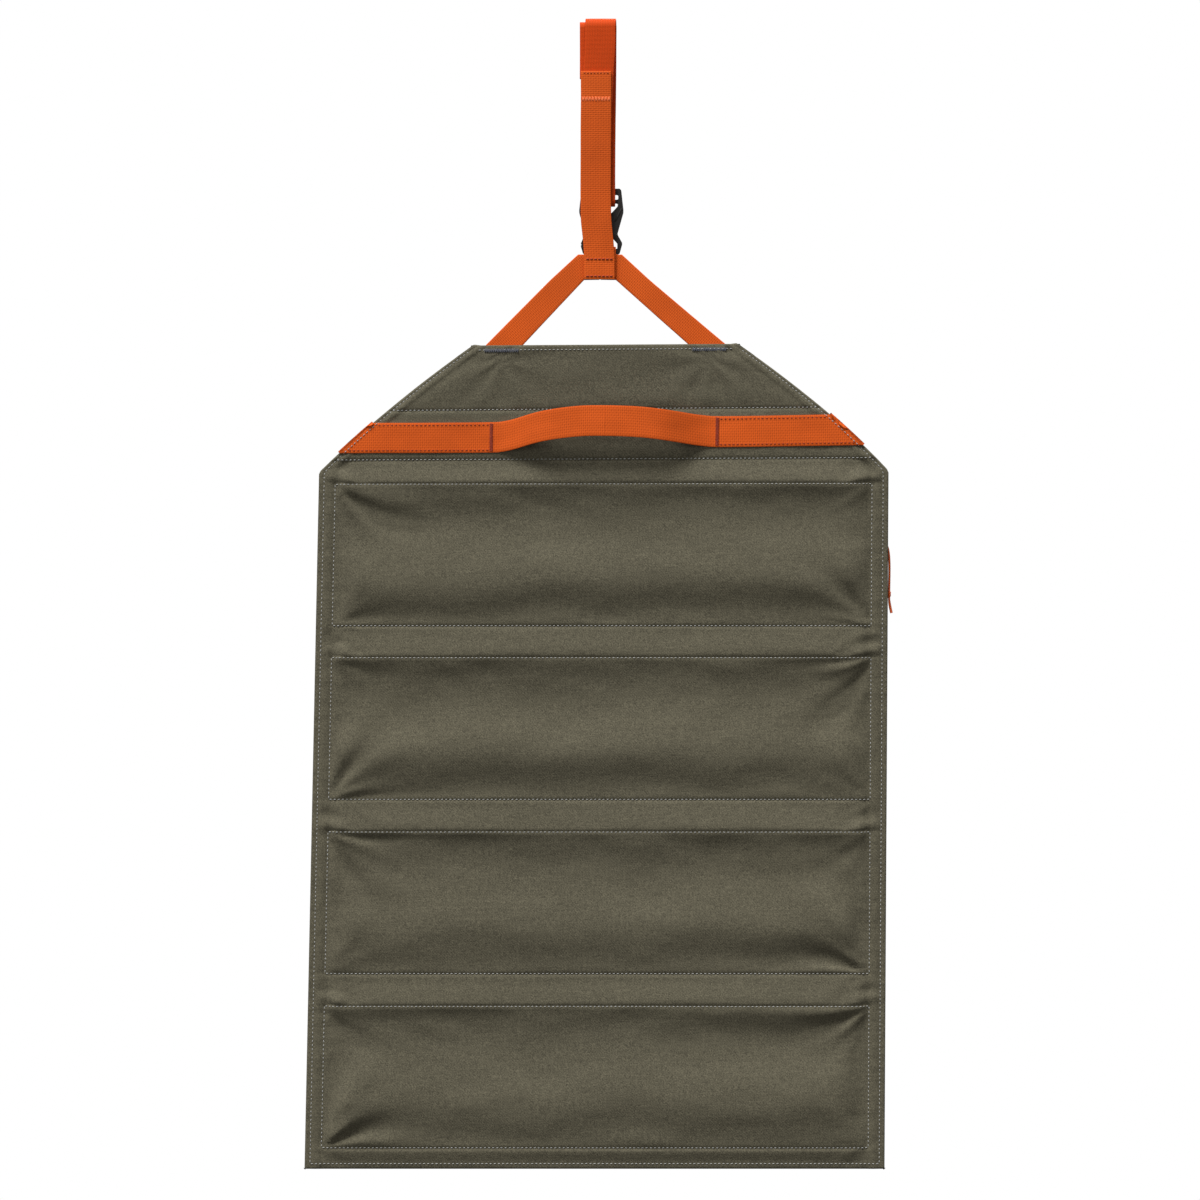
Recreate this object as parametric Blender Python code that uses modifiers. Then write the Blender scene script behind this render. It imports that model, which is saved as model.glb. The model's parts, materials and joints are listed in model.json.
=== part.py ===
"""Kitchen utensil roll: a zipped cloth roll that hangs unrolled from a webbing loop.

Metres, +Z up, X to the right as seen from outside, Y from the outer cloth towards the pockets.
The origin is the inside of the hanging loop's crown, where a rod or a branch bears.
"""

import math

import bmesh
import bpy
from mathutils import Matrix, Vector

# Cloth and webbing
COVER_THICKNESS = 0.0009
LINING_THICKNESS = 0.0005
POCKET_THICKNESS = 0.0004
WEBBING_WIDTH = 0.025
WEBBING_THICKNESS = 0.0016
LOOP_THICKNESS = 0.0013
SEAT_GAP = 0.0003  # between pieces that lie against each other
RUNNING_GAP = 0.0002  # round the zip's sliding pieces

# Heights down the hanging roll
STRAP_DROP = 0.2124  # crown to the lower edge of the sewn patch
YOKE_DROP = 0.0533
FLAP_HEIGHT = 0.0533
HANDLE_BAND_HEIGHT = 0.0410
SHOULDER_BAND_HEIGHT = 0.0192
PANEL_HEIGHT = 0.1173
FOLD_BAND_HEIGHT = 0.0254
BOTTOM_HEM_HEIGHT = 0.0168
PANEL_COUNT = 4

# Half widths of the cloth
FLAP_TOP_HALF_WIDTH = 0.1090
SHOULDER_HALF_WIDTH = 0.2335
BOTTOM_HALF_WIDTH = 0.2378
FLAP_EDGE_BOW = 0.0060  # how far the flap's slanted edges bow outwards
EDGE_MARGIN = 0.0136  # cloth edge to the stitched rectangle
POCKET_MARGIN = 0.0096  # cloth edge to the pocket cloth
LINING_INSET = 0.0010  # cloth edge to the lining's edge

# Relief of a panel's outer cloth between its seams
SEAM_RIDGE = 0.0010
BAND_PUFF = 0.0004
BELLY_DEPTH = 0.0035
BELLY_LOW_POINT = 0.62  # share of the panel's height
HOLLOWS = (0.10, 0.88)
SIDE_EASE = 0.045  # width over which the relief fades in from the side seams

# Hanging strap
CROWN_RADIUS = 0.005  # inside
STRAP_HEM_TOP = 0.0426
STRAP_HEM_BOTTOM = 0.0680
STRAP_OFFSET = -0.0030  # the front ply hangs a little to the left of the back one
PATCH_OFFSET = -0.0012
PATCH_HEIGHT = 0.0172
STRAP_TAIL = 0.0195  # above the hook
TAIL_SEAM = 0.0110

# Yoke, one webbing bent behind the patch
YOKE_TOP = 0.0209  # above the patch's lower edge
YOKE_TOP_HALF = 0.0180
YOKE_CROTCH_HALF = 0.0131
YOKE_END_OUTER = 0.0981
YOKE_END_INNER = 0.0675
YOKE_SEWN_LENGTH = 0.0270  # inside the flap

# Snap hook, with heights from the top of its jaw's lower bar
LOOP_RISE = 0.0254  # patch's lower edge to the jaw bar
HOOK_THICKNESS = 0.0050
HOOK_SETBACK = 0.0034  # middle of the hook behind the cloth's outer face
HOOK_TOP = 0.0495
HOOK_HALF_WIDTH = 0.0162
HOOK_SHOULDER = (0.0183, 0.0305)
HOOK_WAIST = (0.0131, 0.0120)
JAW = (0.0173, 0.0046)
JAW_BAR = 0.0041
JAW_BAR_HALF = 0.0149
JAW_INNER_HALF = 0.0131
JAW_ROOF = 0.0112
JAW_MOUTH = 0.0092
JAW_TIP = 0.0036
JAW_TIP_HALF = (0.0172, 0.0136)
MIDDLE_BAR_LOW = 0.0375
MIDDLE_BAR = 0.0030
TOP_BAR = 0.0050
SLOT_HALF = 0.0139
SLOT_FLOOR = 0.0290
BAR_THICKNESS = 0.0032
WEBBING_ROOM = 0.0015  # lets the hook rock in its webbing
GATE_PIVOT = (-0.0110, 0.0147)
GATE_EYE_RADIUS = 0.0025
GATE_THICKNESS = 0.0024
GATE_WIDTH = 0.0033
GATE_LENGTH = 0.0120
GATE_CLEARANCE = 0.0003
PIN_RADIUS = 0.0009
PIN_CLEARANCE = 0.00012

# Handle
HANDLE_DROP = 0.0195  # its sewn centre line below the flap's seam
HANDLE_SPAN_HALF = 0.090
GRIP_HALF = 0.062
HANDLE_BOW = 0.0140
HANDLE_LIFT = 0.0097
HANDLE_EDGE = 0.0020  # sewn end to the cloth edge
HANDLE_AXIS_DROP = 0.0260
BATTEN_THICKNESS = 0.0008
BATTEN_MARGIN = 0.0025
BATTEN_INSET = 0.0100

# Zipped pockets
ZIP_DROP = 0.0410  # panel's top seam to the zip
ZIP_TAPE_WIDTH = 0.0100
ZIP_MARGIN = 0.0159  # cloth edge to the end of the tape
ZIP_STOP = 0.0060  # end of the tape to the middle of a closed slider
ZIP_SLIT = 0.0009
COIL_WIDTH = 0.0044
COIL_HEIGHT = 0.0011
SLIDER_LENGTH = 0.0095
SLIDER_WIDTH = 0.0072
SLIDER_PLATE = 0.0005
SLIDER_ROOF_PLATE = 0.0007
SLIDER_POST = 0.0005
BRIDGE_WIDTH = 0.0016
BRIDGE_HALF_SPAN = 0.0029
BRIDGE_WALL = 0.0006
BRIDGE_CHAMFER = 0.0004
CORD_DIAMETER = 0.0018
CORD_HALF_SPACING = 0.0020
KNOT_RADIUS = 0.0019
KNOT_HALF_HEIGHT = 0.0034
PULL_LENGTH = 0.0600
TAIL_LENGTH = 0.0150
TAIL_SPREAD = 0.2  # of the cord's diameter
# the first pull leans out past the roll's edge: (right, down) from its bridge
LEANING_PULL = (
    (0.0000, 0.0032),
    (0.0030, 0.0062),
    (0.0110, 0.0072),
    (0.0190, 0.0086),
    (0.0235, 0.0118),
    (0.0256, 0.0180),
    (0.0266, 0.0290),
    (0.0274, 0.0478),
)

# Rolling up: each panel folds flat on the pockets of the one above
ROLL_CLEARANCE = 0.0008
SEAM_SPLIT = 0.00015

# Depths of the layers, from the outer cloth inwards
COVER_Y = -SEAT_GAP - COVER_THICKNESS / 2
COVER_FACE = COVER_Y - COVER_THICKNESS / 2
LINING_Y = LINING_THICKNESS / 2
SLIDER_FLOOR = LINING_THICKNESS + RUNNING_GAP
POCKET_Y = SLIDER_FLOOR + SLIDER_PLATE + RUNNING_GAP + POCKET_THICKNESS / 2
POCKET_SEWN_Y = LINING_THICKNESS + SEAT_GAP + POCKET_THICKNESS / 2
POCKET_FACE = POCKET_Y + POCKET_THICKNESS / 2
COIL_TOP = POCKET_FACE + COIL_HEIGHT
SLIDER_ROOF = COIL_TOP + RUNNING_GAP
SLIDER_TOP = SLIDER_ROOF + SLIDER_ROOF_PLATE
CORD_Y = SLIDER_TOP + CORD_DIAMETER / 2 + RUNNING_GAP / 2
BRIDGE_TOP = CORD_Y + CORD_DIAMETER / 2 + RUNNING_GAP / 2 + BRIDGE_WALL
KNOT_Y = (POCKET_FACE + BRIDGE_TOP) / 2
FLAP_LINING_Y = WEBBING_THICKNESS + SEAT_GAP + LINING_THICKNESS / 2
FLAP_INNER_FACE = FLAP_LINING_Y + LINING_THICKNESS / 2
BAND_LINING_Y = BATTEN_THICKNESS + SEAT_GAP + LINING_THICKNESS / 2
BAND_INNER_FACE = BAND_LINING_Y + LINING_THICKNESS / 2
HANDLE_Y = COVER_FACE - SEAT_GAP - WEBBING_THICKNESS / 2
BAND_THICKNESS = COVER_THICKNESS + SEAT_GAP + LINING_THICKNESS
BAND_Y = LINING_THICKNESS - BAND_THICKNESS / 2

# Heights of the seams
PATCH_BOTTOM = -STRAP_DROP
FLAP_TOP = PATCH_BOTTOM - YOKE_DROP
FLAP_SEAM = FLAP_TOP - FLAP_HEIGHT
HANDLE_SEAM = FLAP_SEAM - HANDLE_BAND_HEIGHT
SHOULDER = HANDLE_SEAM - SHOULDER_BAND_HEIGHT / 2
FIRST_PANEL = HANDLE_SEAM - SHOULDER_BAND_HEIGHT
PANEL_PITCH = PANEL_HEIGHT + FOLD_BAND_HEIGHT
BOTTOM = FIRST_PANEL - PANEL_COUNT * PANEL_PITCH + FOLD_BAND_HEIGHT - BOTTOM_HEM_HEIGHT
HEM_RADIUS = (FLAP_INNER_FACE - COVER_FACE) / 2
FLAP_AXIS_Y = (FLAP_INNER_FACE + COVER_FACE) / 2
FLAP_AXIS = FLAP_TOP - HEM_RADIUS
JAW_LEVEL = PATCH_BOTTOM + LOOP_RISE
MIDDLE_BAR_LEVEL = JAW_LEVEL + MIDDLE_BAR_LOW + MIDDLE_BAR / 2
HANDLE_LEVEL = FLAP_SEAM - HANDLE_DROP

# Spacing of the folded panels
FACE_TO_FACE = BRIDGE_TOP + POCKET_FACE + ROLL_CLEARANCE
FACE_TO_BACK = BRIDGE_TOP - COVER_FACE + ROLL_CLEARANCE

# How a 2D outline is turned to face along each axis: (y, z), (x, z) or (x, y) pairs
FACING = {
    "X": Matrix(((0, 0, 1, 0), (1, 0, 0, 0), (0, 1, 0, 0), (0, 0, 0, 1))),
    "Y": Matrix(((1, 0, 0, 0), (0, 0, 1, 0), (0, 1, 0, 0), (0, 0, 0, 1))),
    "Z": Matrix.Identity(4),
}

MATERIALS = {
    "cover_cloth": ((0.130, 0.118, 0.082), 0.88, 0.0),
    "lining_cloth": ((0.075, 0.070, 0.055), 0.85, 0.0),
    "mesh_cloth": ((0.030, 0.030, 0.028), 0.80, 0.0),
    "webbing": ((0.510, 0.085, 0.018), 0.72, 0.0),
    "hook_plastic": ((0.016, 0.015, 0.014), 0.42, 0.0),
    "pin_steel": ((0.560, 0.560, 0.550), 0.30, 1.0),
    "batten_plastic": ((0.720, 0.710, 0.680), 0.50, 0.0),
    "zip_tape": ((0.040, 0.038, 0.032), 0.75, 0.0),
    "zip_metal": ((0.060, 0.060, 0.060), 0.38, 0.9),
    "pull_cord": ((0.470, 0.075, 0.016), 0.70, 0.0),
}


def clear_scene():
    for obj in list(bpy.data.objects):
        bpy.data.objects.remove(obj, do_unlink=True)


def collection(name):
    made = bpy.data.collections.new(name)
    bpy.context.scene.collection.children.link(made)
    return made


def material(name):
    if name in bpy.data.materials:
        return bpy.data.materials[name]
    colour, roughness, metallic = MATERIALS[name]
    made = bpy.data.materials.new(name)
    made.use_nodes = True
    shader = made.node_tree.nodes["Principled BSDF"]
    shader.inputs["Base Color"].default_value = (*colour, 1.0)
    shader.inputs["Roughness"].default_value = roughness
    shader.inputs["Metallic"].default_value = metallic
    return made


def joint_place(empty):
    """Where a joint's empty stands in the part's frame."""
    place = Vector((0.0, 0.0, 0.0))
    while empty:
        place += empty.location
        empty = empty.parent
    return place


def joint(name, place, parent=None):
    """An empty on a joint's axis, at a place in the part's frame."""
    empty = bpy.data.objects.new(name, None)
    empty.empty_display_size = 0.01
    empty.parent = parent
    empty.location = Vector(place) - joint_place(parent)
    PARTS.objects.link(empty)
    return empty


def add_part(name, mesh, slot, carrier=None):
    """A named piece, drawn in the part's frame, on the empty that carries it."""
    obj = bpy.data.objects.new(name, mesh)
    mesh.materials.append(material(slot))
    obj.parent = carrier
    obj.location = -joint_place(carrier)
    PARTS.objects.link(obj)
    return obj


def grid_mesh(name, rows):
    """An open surface through rows of points."""
    bm = bmesh.new()
    lines = [[bm.verts.new(point) for point in row] for row in rows]
    for upper, lower in zip(lines, lines[1:]):
        for i in range(len(upper) - 1):
            bm.faces.new((upper[i], lower[i], lower[i + 1], upper[i + 1]))
    return finished_mesh(name, bm)


def finished_mesh(name, bm):
    mesh = bpy.data.meshes.new(name)
    bm.to_mesh(mesh)
    bm.free()
    return mesh


def sheet(name, rows, thickness, slot, carrier=None):
    """Cloth or webbing: rows of points along its middle surface, thickened to both sides."""
    obj = add_part(name, grid_mesh(name, rows), slot, carrier)
    solidify = obj.modifiers.new("thickness", "SOLIDIFY")
    solidify.thickness = thickness
    solidify.offset = 0.0
    solidify.use_even_offset = True
    return obj


def prism(name, outline, axis, low, high):
    """A flat outline as a filled 2D curve, extruded between two places along an axis."""
    curve = bpy.data.curves.new(name, "CURVE")
    curve.dimensions = "2D"
    curve.fill_mode = "BOTH"
    curve.extrude = (high - low) / 2
    spline = curve.splines.new("POLY")
    spline.points.add(len(outline) - 1)
    for point, (across, along) in zip(spline.points, outline):
        point.co = (across, along, 0.0, 1.0)
    spline.use_cyclic_u = True
    return welded(curve, FACING[axis], (low + high) / 2)


def welded(curve, turn=Matrix.Identity(4), middle=0.0):
    """The closed mesh of a curve, with its loose caps welded on."""
    obj = bpy.data.objects.new(curve.name, curve)
    HELPERS.objects.link(obj)
    obj.matrix_world = turn @ Matrix.Translation((0.0, 0.0, middle))
    bpy.context.view_layer.update()
    evaluated = obj.evaluated_get(bpy.context.evaluated_depsgraph_get())
    mesh = bpy.data.meshes.new_from_object(evaluated)
    mesh.transform(obj.matrix_world)
    bm = bmesh.new()
    bm.from_mesh(mesh)
    bmesh.ops.remove_doubles(bm, verts=bm.verts, dist=0.00001)
    bmesh.ops.recalc_face_normals(bm, faces=bm.faces)
    bm.to_mesh(mesh)
    bm.free()
    bpy.data.objects.remove(obj, do_unlink=True)
    return mesh


def rectangle(low, high):
    return [(low[0], low[1]), (high[0], low[1]), (high[0], high[1]), (low[0], high[1])]


def arc(centre, radius, start, end, steps):
    """Points on an arc, with angles in degrees."""
    points = []
    for angle in spread(start, end, steps):
        turn = math.radians(angle)
        points.append((centre[0] + radius * math.cos(turn), centre[1] + radius * math.sin(turn)))
    return points


def rounded(corners, steps=4):
    """A closed outline from (x, y, radius) corners, each rounded by an arc."""
    points = []
    for i, (x, y, radius) in enumerate(corners):
        corner = Vector((x, y))
        if radius == 0.0:
            points.append((x, y))
            continue
        before = (Vector(corners[i - 1][:2]) - corner).normalized()
        after = (Vector(corners[(i + 1) % len(corners)][:2]) - corner).normalized()
        half = before.angle(after) / 2
        centre = corner + (before + after).normalized() * radius / math.sin(half)
        start = corner + before * radius / math.tan(half) - centre
        end = corner + after * radius / math.tan(half) - centre
        first = math.degrees(math.atan2(start.y, start.x))
        sweep = (math.degrees(math.atan2(end.y, end.x)) - first + 180.0) % 360.0 - 180.0
        points += arc(centre, radius, first, first + sweep, steps)
    return points


def mirrored(corners):
    """The left half of an outline from its right half."""
    return [(-x, y, radius) for x, y, radius in reversed(corners)]


def cord(name, points, diameter):
    """A round cord along points, with filled ends."""
    curve = bpy.data.curves.new(name, "CURVE")
    curve.dimensions = "3D"
    curve.bevel_depth = diameter / 2
    curve.bevel_resolution = 1
    curve.use_fill_caps = True
    spline = curve.splines.new("POLY")
    spline.points.add(len(points) - 1)
    for point, place in zip(spline.points, points):
        point.co = (*place, 1.0)
    return welded(curve)


def ball(name, centre, radius, half_height):
    bm = bmesh.new()
    bmesh.ops.create_uvsphere(bm, u_segments=12, v_segments=8, radius=1.0)
    bmesh.ops.scale(bm, vec=(radius, radius, half_height), verts=bm.verts)
    bmesh.ops.translate(bm, vec=centre, verts=bm.verts)
    return finished_mesh(name, bm)


def boolean(obj, name, mesh, operation):
    """Cuts away, or joins on, a hidden helper shape."""
    helper = bpy.data.objects.new(name, mesh)
    helper.hide_render = True
    helper.display_type = "WIRE"
    helper.parent = obj.parent
    helper.location = obj.location
    HELPERS.objects.link(helper)
    modifier = obj.modifiers.new(name, "BOOLEAN")
    modifier.operation = operation
    modifier.object = helper


def smooth(t):
    """Eases from 0 to 1."""
    t = min(max(t, 0.0), 1.0)
    return t * t * (3.0 - 2.0 * t)


def spread(start, end, steps):
    return [start + (end - start) * i / steps for i in range(steps + 1)]


def half_width(z):
    """Half the cloth's width at a height."""
    if z >= SHOULDER:
        t = (FLAP_TOP - z) / (FLAP_TOP - SHOULDER)
        bow = 4.0 * FLAP_EDGE_BOW * t * (1.0 - t)
        return FLAP_TOP_HALF_WIDTH + (SHOULDER_HALF_WIDTH - FLAP_TOP_HALF_WIDTH) * t + bow
    t = (SHOULDER - z) / (SHOULDER - BOTTOM)
    return SHOULDER_HALF_WIDTH + (BOTTOM_HALF_WIDTH - SHOULDER_HALF_WIDTH) * t


def layer(heights, y, inset=0.0):
    """Rows of a flat layer that follows the roll's outline."""
    rows = []
    for z in heights:
        reach = half_width(z) - inset
        rows.append([(-reach, y, z), (reach, y, z)])
    return rows


def ribbon(path, half=WEBBING_WIDTH / 2):
    """Rows across X along a path of (x, y, z) points."""
    return [[(x - half, y, z), (x + half, y, z)] for x, y, z in path]


def panel_top(n):
    return FIRST_PANEL - (n - 1) * PANEL_PITCH


def zip_level(n):
    return panel_top(n) - ZIP_DROP


def zip_reach(n):
    """Half the length of a zip's tape."""
    return half_width(zip_level(n)) - ZIP_MARGIN


def slider_place(n):
    """Closed sliders stand at the right and at the left in turn, so that knots never stack."""
    side = 1.0 if n % 2 else -1.0
    return side * (zip_reach(n) - ZIP_STOP)


def belly(v):
    """How far a panel's cloth stands out at a share of the panel's height."""
    if v < HOLLOWS[0]:
        return 0.0
    if v < BELLY_LOW_POINT:
        return smooth((v - HOLLOWS[0]) / (BELLY_LOW_POINT - HOLLOWS[0]))
    return smooth((HOLLOWS[1] - v) / (HOLLOWS[1] - BELLY_LOW_POINT))


def relief(x, z):
    """How far the outer cloth stands out of its plane."""
    n = int(min(max((FIRST_PANEL - z) / PANEL_PITCH, 0.0), PANEL_COUNT - 1)) + 1
    v = (panel_top(n) - z) / PANEL_HEIGHT
    inside = half_width(z) - EDGE_MARGIN - abs(x)
    ease = smooth(inside / SIDE_EASE)
    if v <= 0.0 or v >= 1.0:
        band = SHOULDER_BAND_HEIGHT if v <= 0.0 else FOLD_BAND_HEIGHT
        depth = -v * PANEL_HEIGHT if v <= 0.0 else (v - 1.0) * PANEL_HEIGHT
        share = min(depth / band, 1.0)
        return (SEAM_RIDGE + BAND_PUFF * 4.0 * share * (1.0 - share)) * ease
    ridge = 1.0 - smooth(v / HOLLOWS[0])
    ridge += smooth((v - HOLLOWS[1]) / (1.0 - HOLLOWS[1]))
    return (SEAM_RIDGE * ridge + BELLY_DEPTH * belly(v)) * ease


def quilted(heights, y, columns):
    """Rows of the outer cloth with its relief."""
    rows = []
    for z in heights:
        reach = half_width(z)
        inner = spread(-(reach - EDGE_MARGIN), reach - EDGE_MARGIN, columns)
        rows.append([(x, y - relief(x, z), z) for x in [-reach, *inner, reach]])
    return rows


def strap_bodies():
    """The root: both strap plies, the yoke and the loop that the hook clips."""
    mid = CROWN_RADIUS + WEBBING_THICKNESS / 2
    hem_y = -mid - WEBBING_THICKNESS - SEAT_GAP
    patch_y = -LOOP_THICKNESS - 2 * SEAT_GAP - WEBBING_THICKNESS / 2
    patch_top = PATCH_BOTTOM + PATCH_HEIGHT
    front = [(STRAP_OFFSET, hem_y, -STRAP_HEM_TOP), (STRAP_OFFSET, hem_y, -STRAP_HEM_BOTTOM)]
    for t in spread(0.0, 1.0, 8)[1:]:
        z = -STRAP_HEM_BOTTOM + (patch_top + STRAP_HEM_BOTTOM) * t
        x = STRAP_OFFSET + (PATCH_OFFSET - STRAP_OFFSET) * t
        front.append((x, hem_y + (patch_y - hem_y) * t, z))
    front.append((PATCH_OFFSET, patch_y, PATCH_BOTTOM))
    sheet("strap_front", ribbon(front), WEBBING_THICKNESS, "webbing")
    sheet("strap_top", ribbon(strap_top_path()), WEBBING_THICKNESS, "webbing")

    right = [
        (YOKE_TOP_HALF, PATCH_BOTTOM + YOKE_TOP, 0.004),
        (YOKE_END_OUTER, FLAP_TOP + SEAT_GAP, 0.0),
        (YOKE_END_INNER, FLAP_TOP + SEAT_GAP, 0.0),
        (YOKE_CROTCH_HALF, PATCH_BOTTOM, 0.002),
    ]
    outline = rounded(right + mirrored(right))
    add_part("yoke", prism("yoke", outline, "Y", 0.0, WEBBING_THICKNESS), "webbing")
    sheet("clip_loop", ribbon(clip_loop_path()), LOOP_THICKNESS, "webbing")


def strap_top_path():
    """Middle line of the upper strap: from the hem over the crown and round the hook's bar."""
    mid = CROWN_RADIUS + WEBBING_THICKNESS / 2
    path = [(STRAP_OFFSET, -mid, -STRAP_HEM_BOTTOM), (STRAP_OFFSET, -mid, -STRAP_HEM_TOP)]
    crown = arc((0.0, -CROWN_RADIUS), mid, 180.0, 0.0, 12)
    for i, (y, z) in enumerate(crown):
        path.append((STRAP_OFFSET * (1.0 - i / 12), y, z))
    reach = BAR_THICKNESS / 2 + WEBBING_ROOM + WEBBING_THICKNESS / 2
    hook_top = JAW_LEVEL + HOOK_TOP
    above = hook_top + 0.004
    for t in spread(0.0, 1.0, 9)[1:]:
        path.append((0.0, ply_y(t, mid, HOOK_SETBACK - reach), -CROWN_RADIUS + (above + CROWN_RADIUS) * t))
    bend = MIDDLE_BAR / 2 + SEAT_GAP + WEBBING_THICKNESS / 2 + 0.0008
    for angle in spread(180.0, 360.0, 12):
        turn = math.radians(angle)
        y = HOOK_SETBACK + reach * math.cos(turn)
        path.append((0.0, y, MIDDLE_BAR_LEVEL + bend * math.sin(turn)))
    path.append((0.0, HOOK_SETBACK + reach, hook_top))
    step = WEBBING_THICKNESS + SEAT_GAP
    for height in (STRAP_TAIL - TAIL_SEAM, STRAP_TAIL - TAIL_SEAM / 2, STRAP_TAIL):
        t = (-CROWN_RADIUS - hook_top - height) / (-CROWN_RADIUS - above)
        path.append((0.0, ply_y(t, mid, HOOK_SETBACK - reach) + step, hook_top + height))
    return path


def ply_y(t, start, end):
    """Depth of the strap's back ply at a share of its way from the crown to the hook."""
    return start + (end - start) * smooth(t)


def clip_loop_path():
    """Middle line of the loop over the jaw bar, with its ends sewn before and behind the yoke."""
    half = LOOP_THICKNESS / 2
    front_y = HOOK_SETBACK - HOOK_THICKNESS / 2 - SEAT_GAP - half
    back_y = HOOK_SETBACK + HOOK_THICKNESS / 2 + SEAT_GAP + half
    yoke_top = PATCH_BOTTOM + YOKE_TOP
    under = WEBBING_THICKNESS + SEAT_GAP + half
    x = PATCH_OFFSET / 2
    path = [
        (x, -SEAT_GAP - half, PATCH_BOTTOM + 0.002),
        (x, -SEAT_GAP - half, yoke_top),
        (x, front_y, JAW_LEVEL - JAW_BAR / 2),
    ]
    over = JAW_LEVEL + SEAT_GAP + half
    bend = 0.0008
    path += [(x, front_y, over - bend), (x, front_y + bend, over)]
    path += [(x, back_y - bend, over), (x, back_y, over - bend)]
    path += [(x, back_y, JAW_LEVEL - JAW_BAR), (x, under, yoke_top - 0.009), (x, under, PATCH_BOTTOM + 0.002)]
    return path


def snap_hook(hook, gate):
    """A flat plastic snap hook with webbing bars, an open jaw and a sprung gate on a pin."""
    right = [
        (HOOK_HALF_WIDTH, HOOK_TOP, 0.0025),
        (*HOOK_SHOULDER, 0.008),
        (*HOOK_WAIST, 0.004),
        (*JAW, 0.003),
        (JAW_BAR_HALF, -JAW_BAR, 0.002),
        (-JAW_BAR_HALF, -JAW_BAR, 0.002),
        (-JAW_TIP_HALF[0], JAW_TIP, 0.0008),
        (-JAW_TIP_HALF[1], JAW_TIP - 0.0008, 0.0005),
        (-JAW_INNER_HALF, 0.0, 0.0006),
        (JAW_INNER_HALF, 0.0, 0.0008),
        (JAW_INNER_HALF, 0.0048, 0.002),
        (0.0072, JAW_ROOF, 0.003),
        (-0.0060, JAW_ROOF, 0.0015),
        (-0.0080, JAW_MOUTH, 0.0010),
        (-0.0142, JAW_MOUTH, 0.0008),
        (-HOOK_WAIST[0], HOOK_WAIST[1], 0.001),
        (-HOOK_SHOULDER[0], HOOK_SHOULDER[1], 0.008),
        (-HOOK_HALF_WIDTH, HOOK_TOP, 0.0025),
    ]
    front = HOOK_SETBACK - HOOK_THICKNESS / 2
    back = HOOK_SETBACK + HOOK_THICKNESS / 2
    outline = [(x, JAW_LEVEL + z) for x, z in rounded(right)]
    body = add_part("snap_hook", prism("snap_hook", outline, "Y", front, back), "hook_plastic", hook)
    slot_top = JAW_LEVEL + HOOK_TOP - TOP_BAR
    bar_top = JAW_LEVEL + MIDDLE_BAR_LOW + MIDDLE_BAR
    bar_low = JAW_LEVEL + MIDDLE_BAR_LOW
    floor = JAW_LEVEL + SLOT_FLOOR
    upper = [(SLOT_HALF, slot_top, 0.001), (SLOT_HALF, bar_top, 0.001)]
    lower = [(SLOT_HALF, bar_low, 0.001), (SLOT_HALF - 0.0008, bar_low - 0.003, 0.001), (0.008, floor, 0.003)]
    low, high = front - 0.001, back + 0.001
    for name, corners in (("upper_slot", upper), ("lower_slot", lower)):
        slot = prism(name, rounded(corners + mirrored(corners)), "Y", low, high)
        boolean(body, name, slot, "DIFFERENCE")
    recess = rectangle((-SLOT_HALF, bar_low - 0.0004), (SLOT_HALF, JAW_LEVEL + HOOK_TOP + 0.001))
    for name, start, end in (
        ("front_recess", front - 0.001, HOOK_SETBACK - BAR_THICKNESS / 2),
        ("back_recess", HOOK_SETBACK + BAR_THICKNESS / 2, back + 0.001),
    ):
        boolean(body, name, prism(name, recess, "Y", start, end), "DIFFERENCE")

    pivot = (GATE_PIVOT[0], JAW_LEVEL + GATE_PIVOT[1])
    slit = GATE_THICKNESS / 2 + GATE_CLEARANCE
    fork = rectangle((-0.020, pivot[1] - 0.008), (pivot[0] + 0.0031, pivot[1] + 0.0031))
    fork_mesh = prism("gate_fork", fork, "Y", HOOK_SETBACK - slit, HOOK_SETBACK + slit)
    boolean(body, "gate_fork", fork_mesh, "DIFFERENCE")
    bore = arc(pivot, PIN_RADIUS + PIN_CLEARANCE, 0.0, 360.0, 20)[:-1]
    boolean(body, "pin_bore", prism("pin_bore", bore, "Y", low, high), "DIFFERENCE")
    pin = arc(pivot, PIN_RADIUS, 0.0, 360.0, 20)[:-1]
    pin_mesh = prism("gate_pin", pin, "Y", front + 0.0002, back - 0.0002)
    add_part("gate_pin", pin_mesh, "pin_steel", hook)

    tip = ((-JAW_TIP_HALF[0] - JAW_TIP_HALF[1]) / 2, JAW_TIP)
    lean = math.atan2(tip[1] - GATE_PIVOT[1], tip[0] - GATE_PIVOT[0])
    half = GATE_WIDTH / 2
    open_angle = math.degrees(math.asin(half / GATE_EYE_RADIUS))
    shape = [(GATE_LENGTH, -half), (GATE_LENGTH, half)]
    shape += arc((0.0, 0.0), GATE_EYE_RADIUS, open_angle, 360.0 - open_angle, 14)
    turned = []
    for x, z in shape:
        turned.append(
            (
                pivot[0] + x * math.cos(lean) - z * math.sin(lean),
                pivot[1] + x * math.sin(lean) + z * math.cos(lean),
            )
        )
    thick = GATE_THICKNESS / 2
    gate_mesh = prism("hook_gate", turned, "Y", HOOK_SETBACK - thick, HOOK_SETBACK + thick)
    gate_obj = add_part("hook_gate", gate_mesh, "hook_plastic", gate)
    boolean(gate_obj, "gate_bore", prism("gate_bore", bore, "Y", low, high), "DIFFERENCE")


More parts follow.
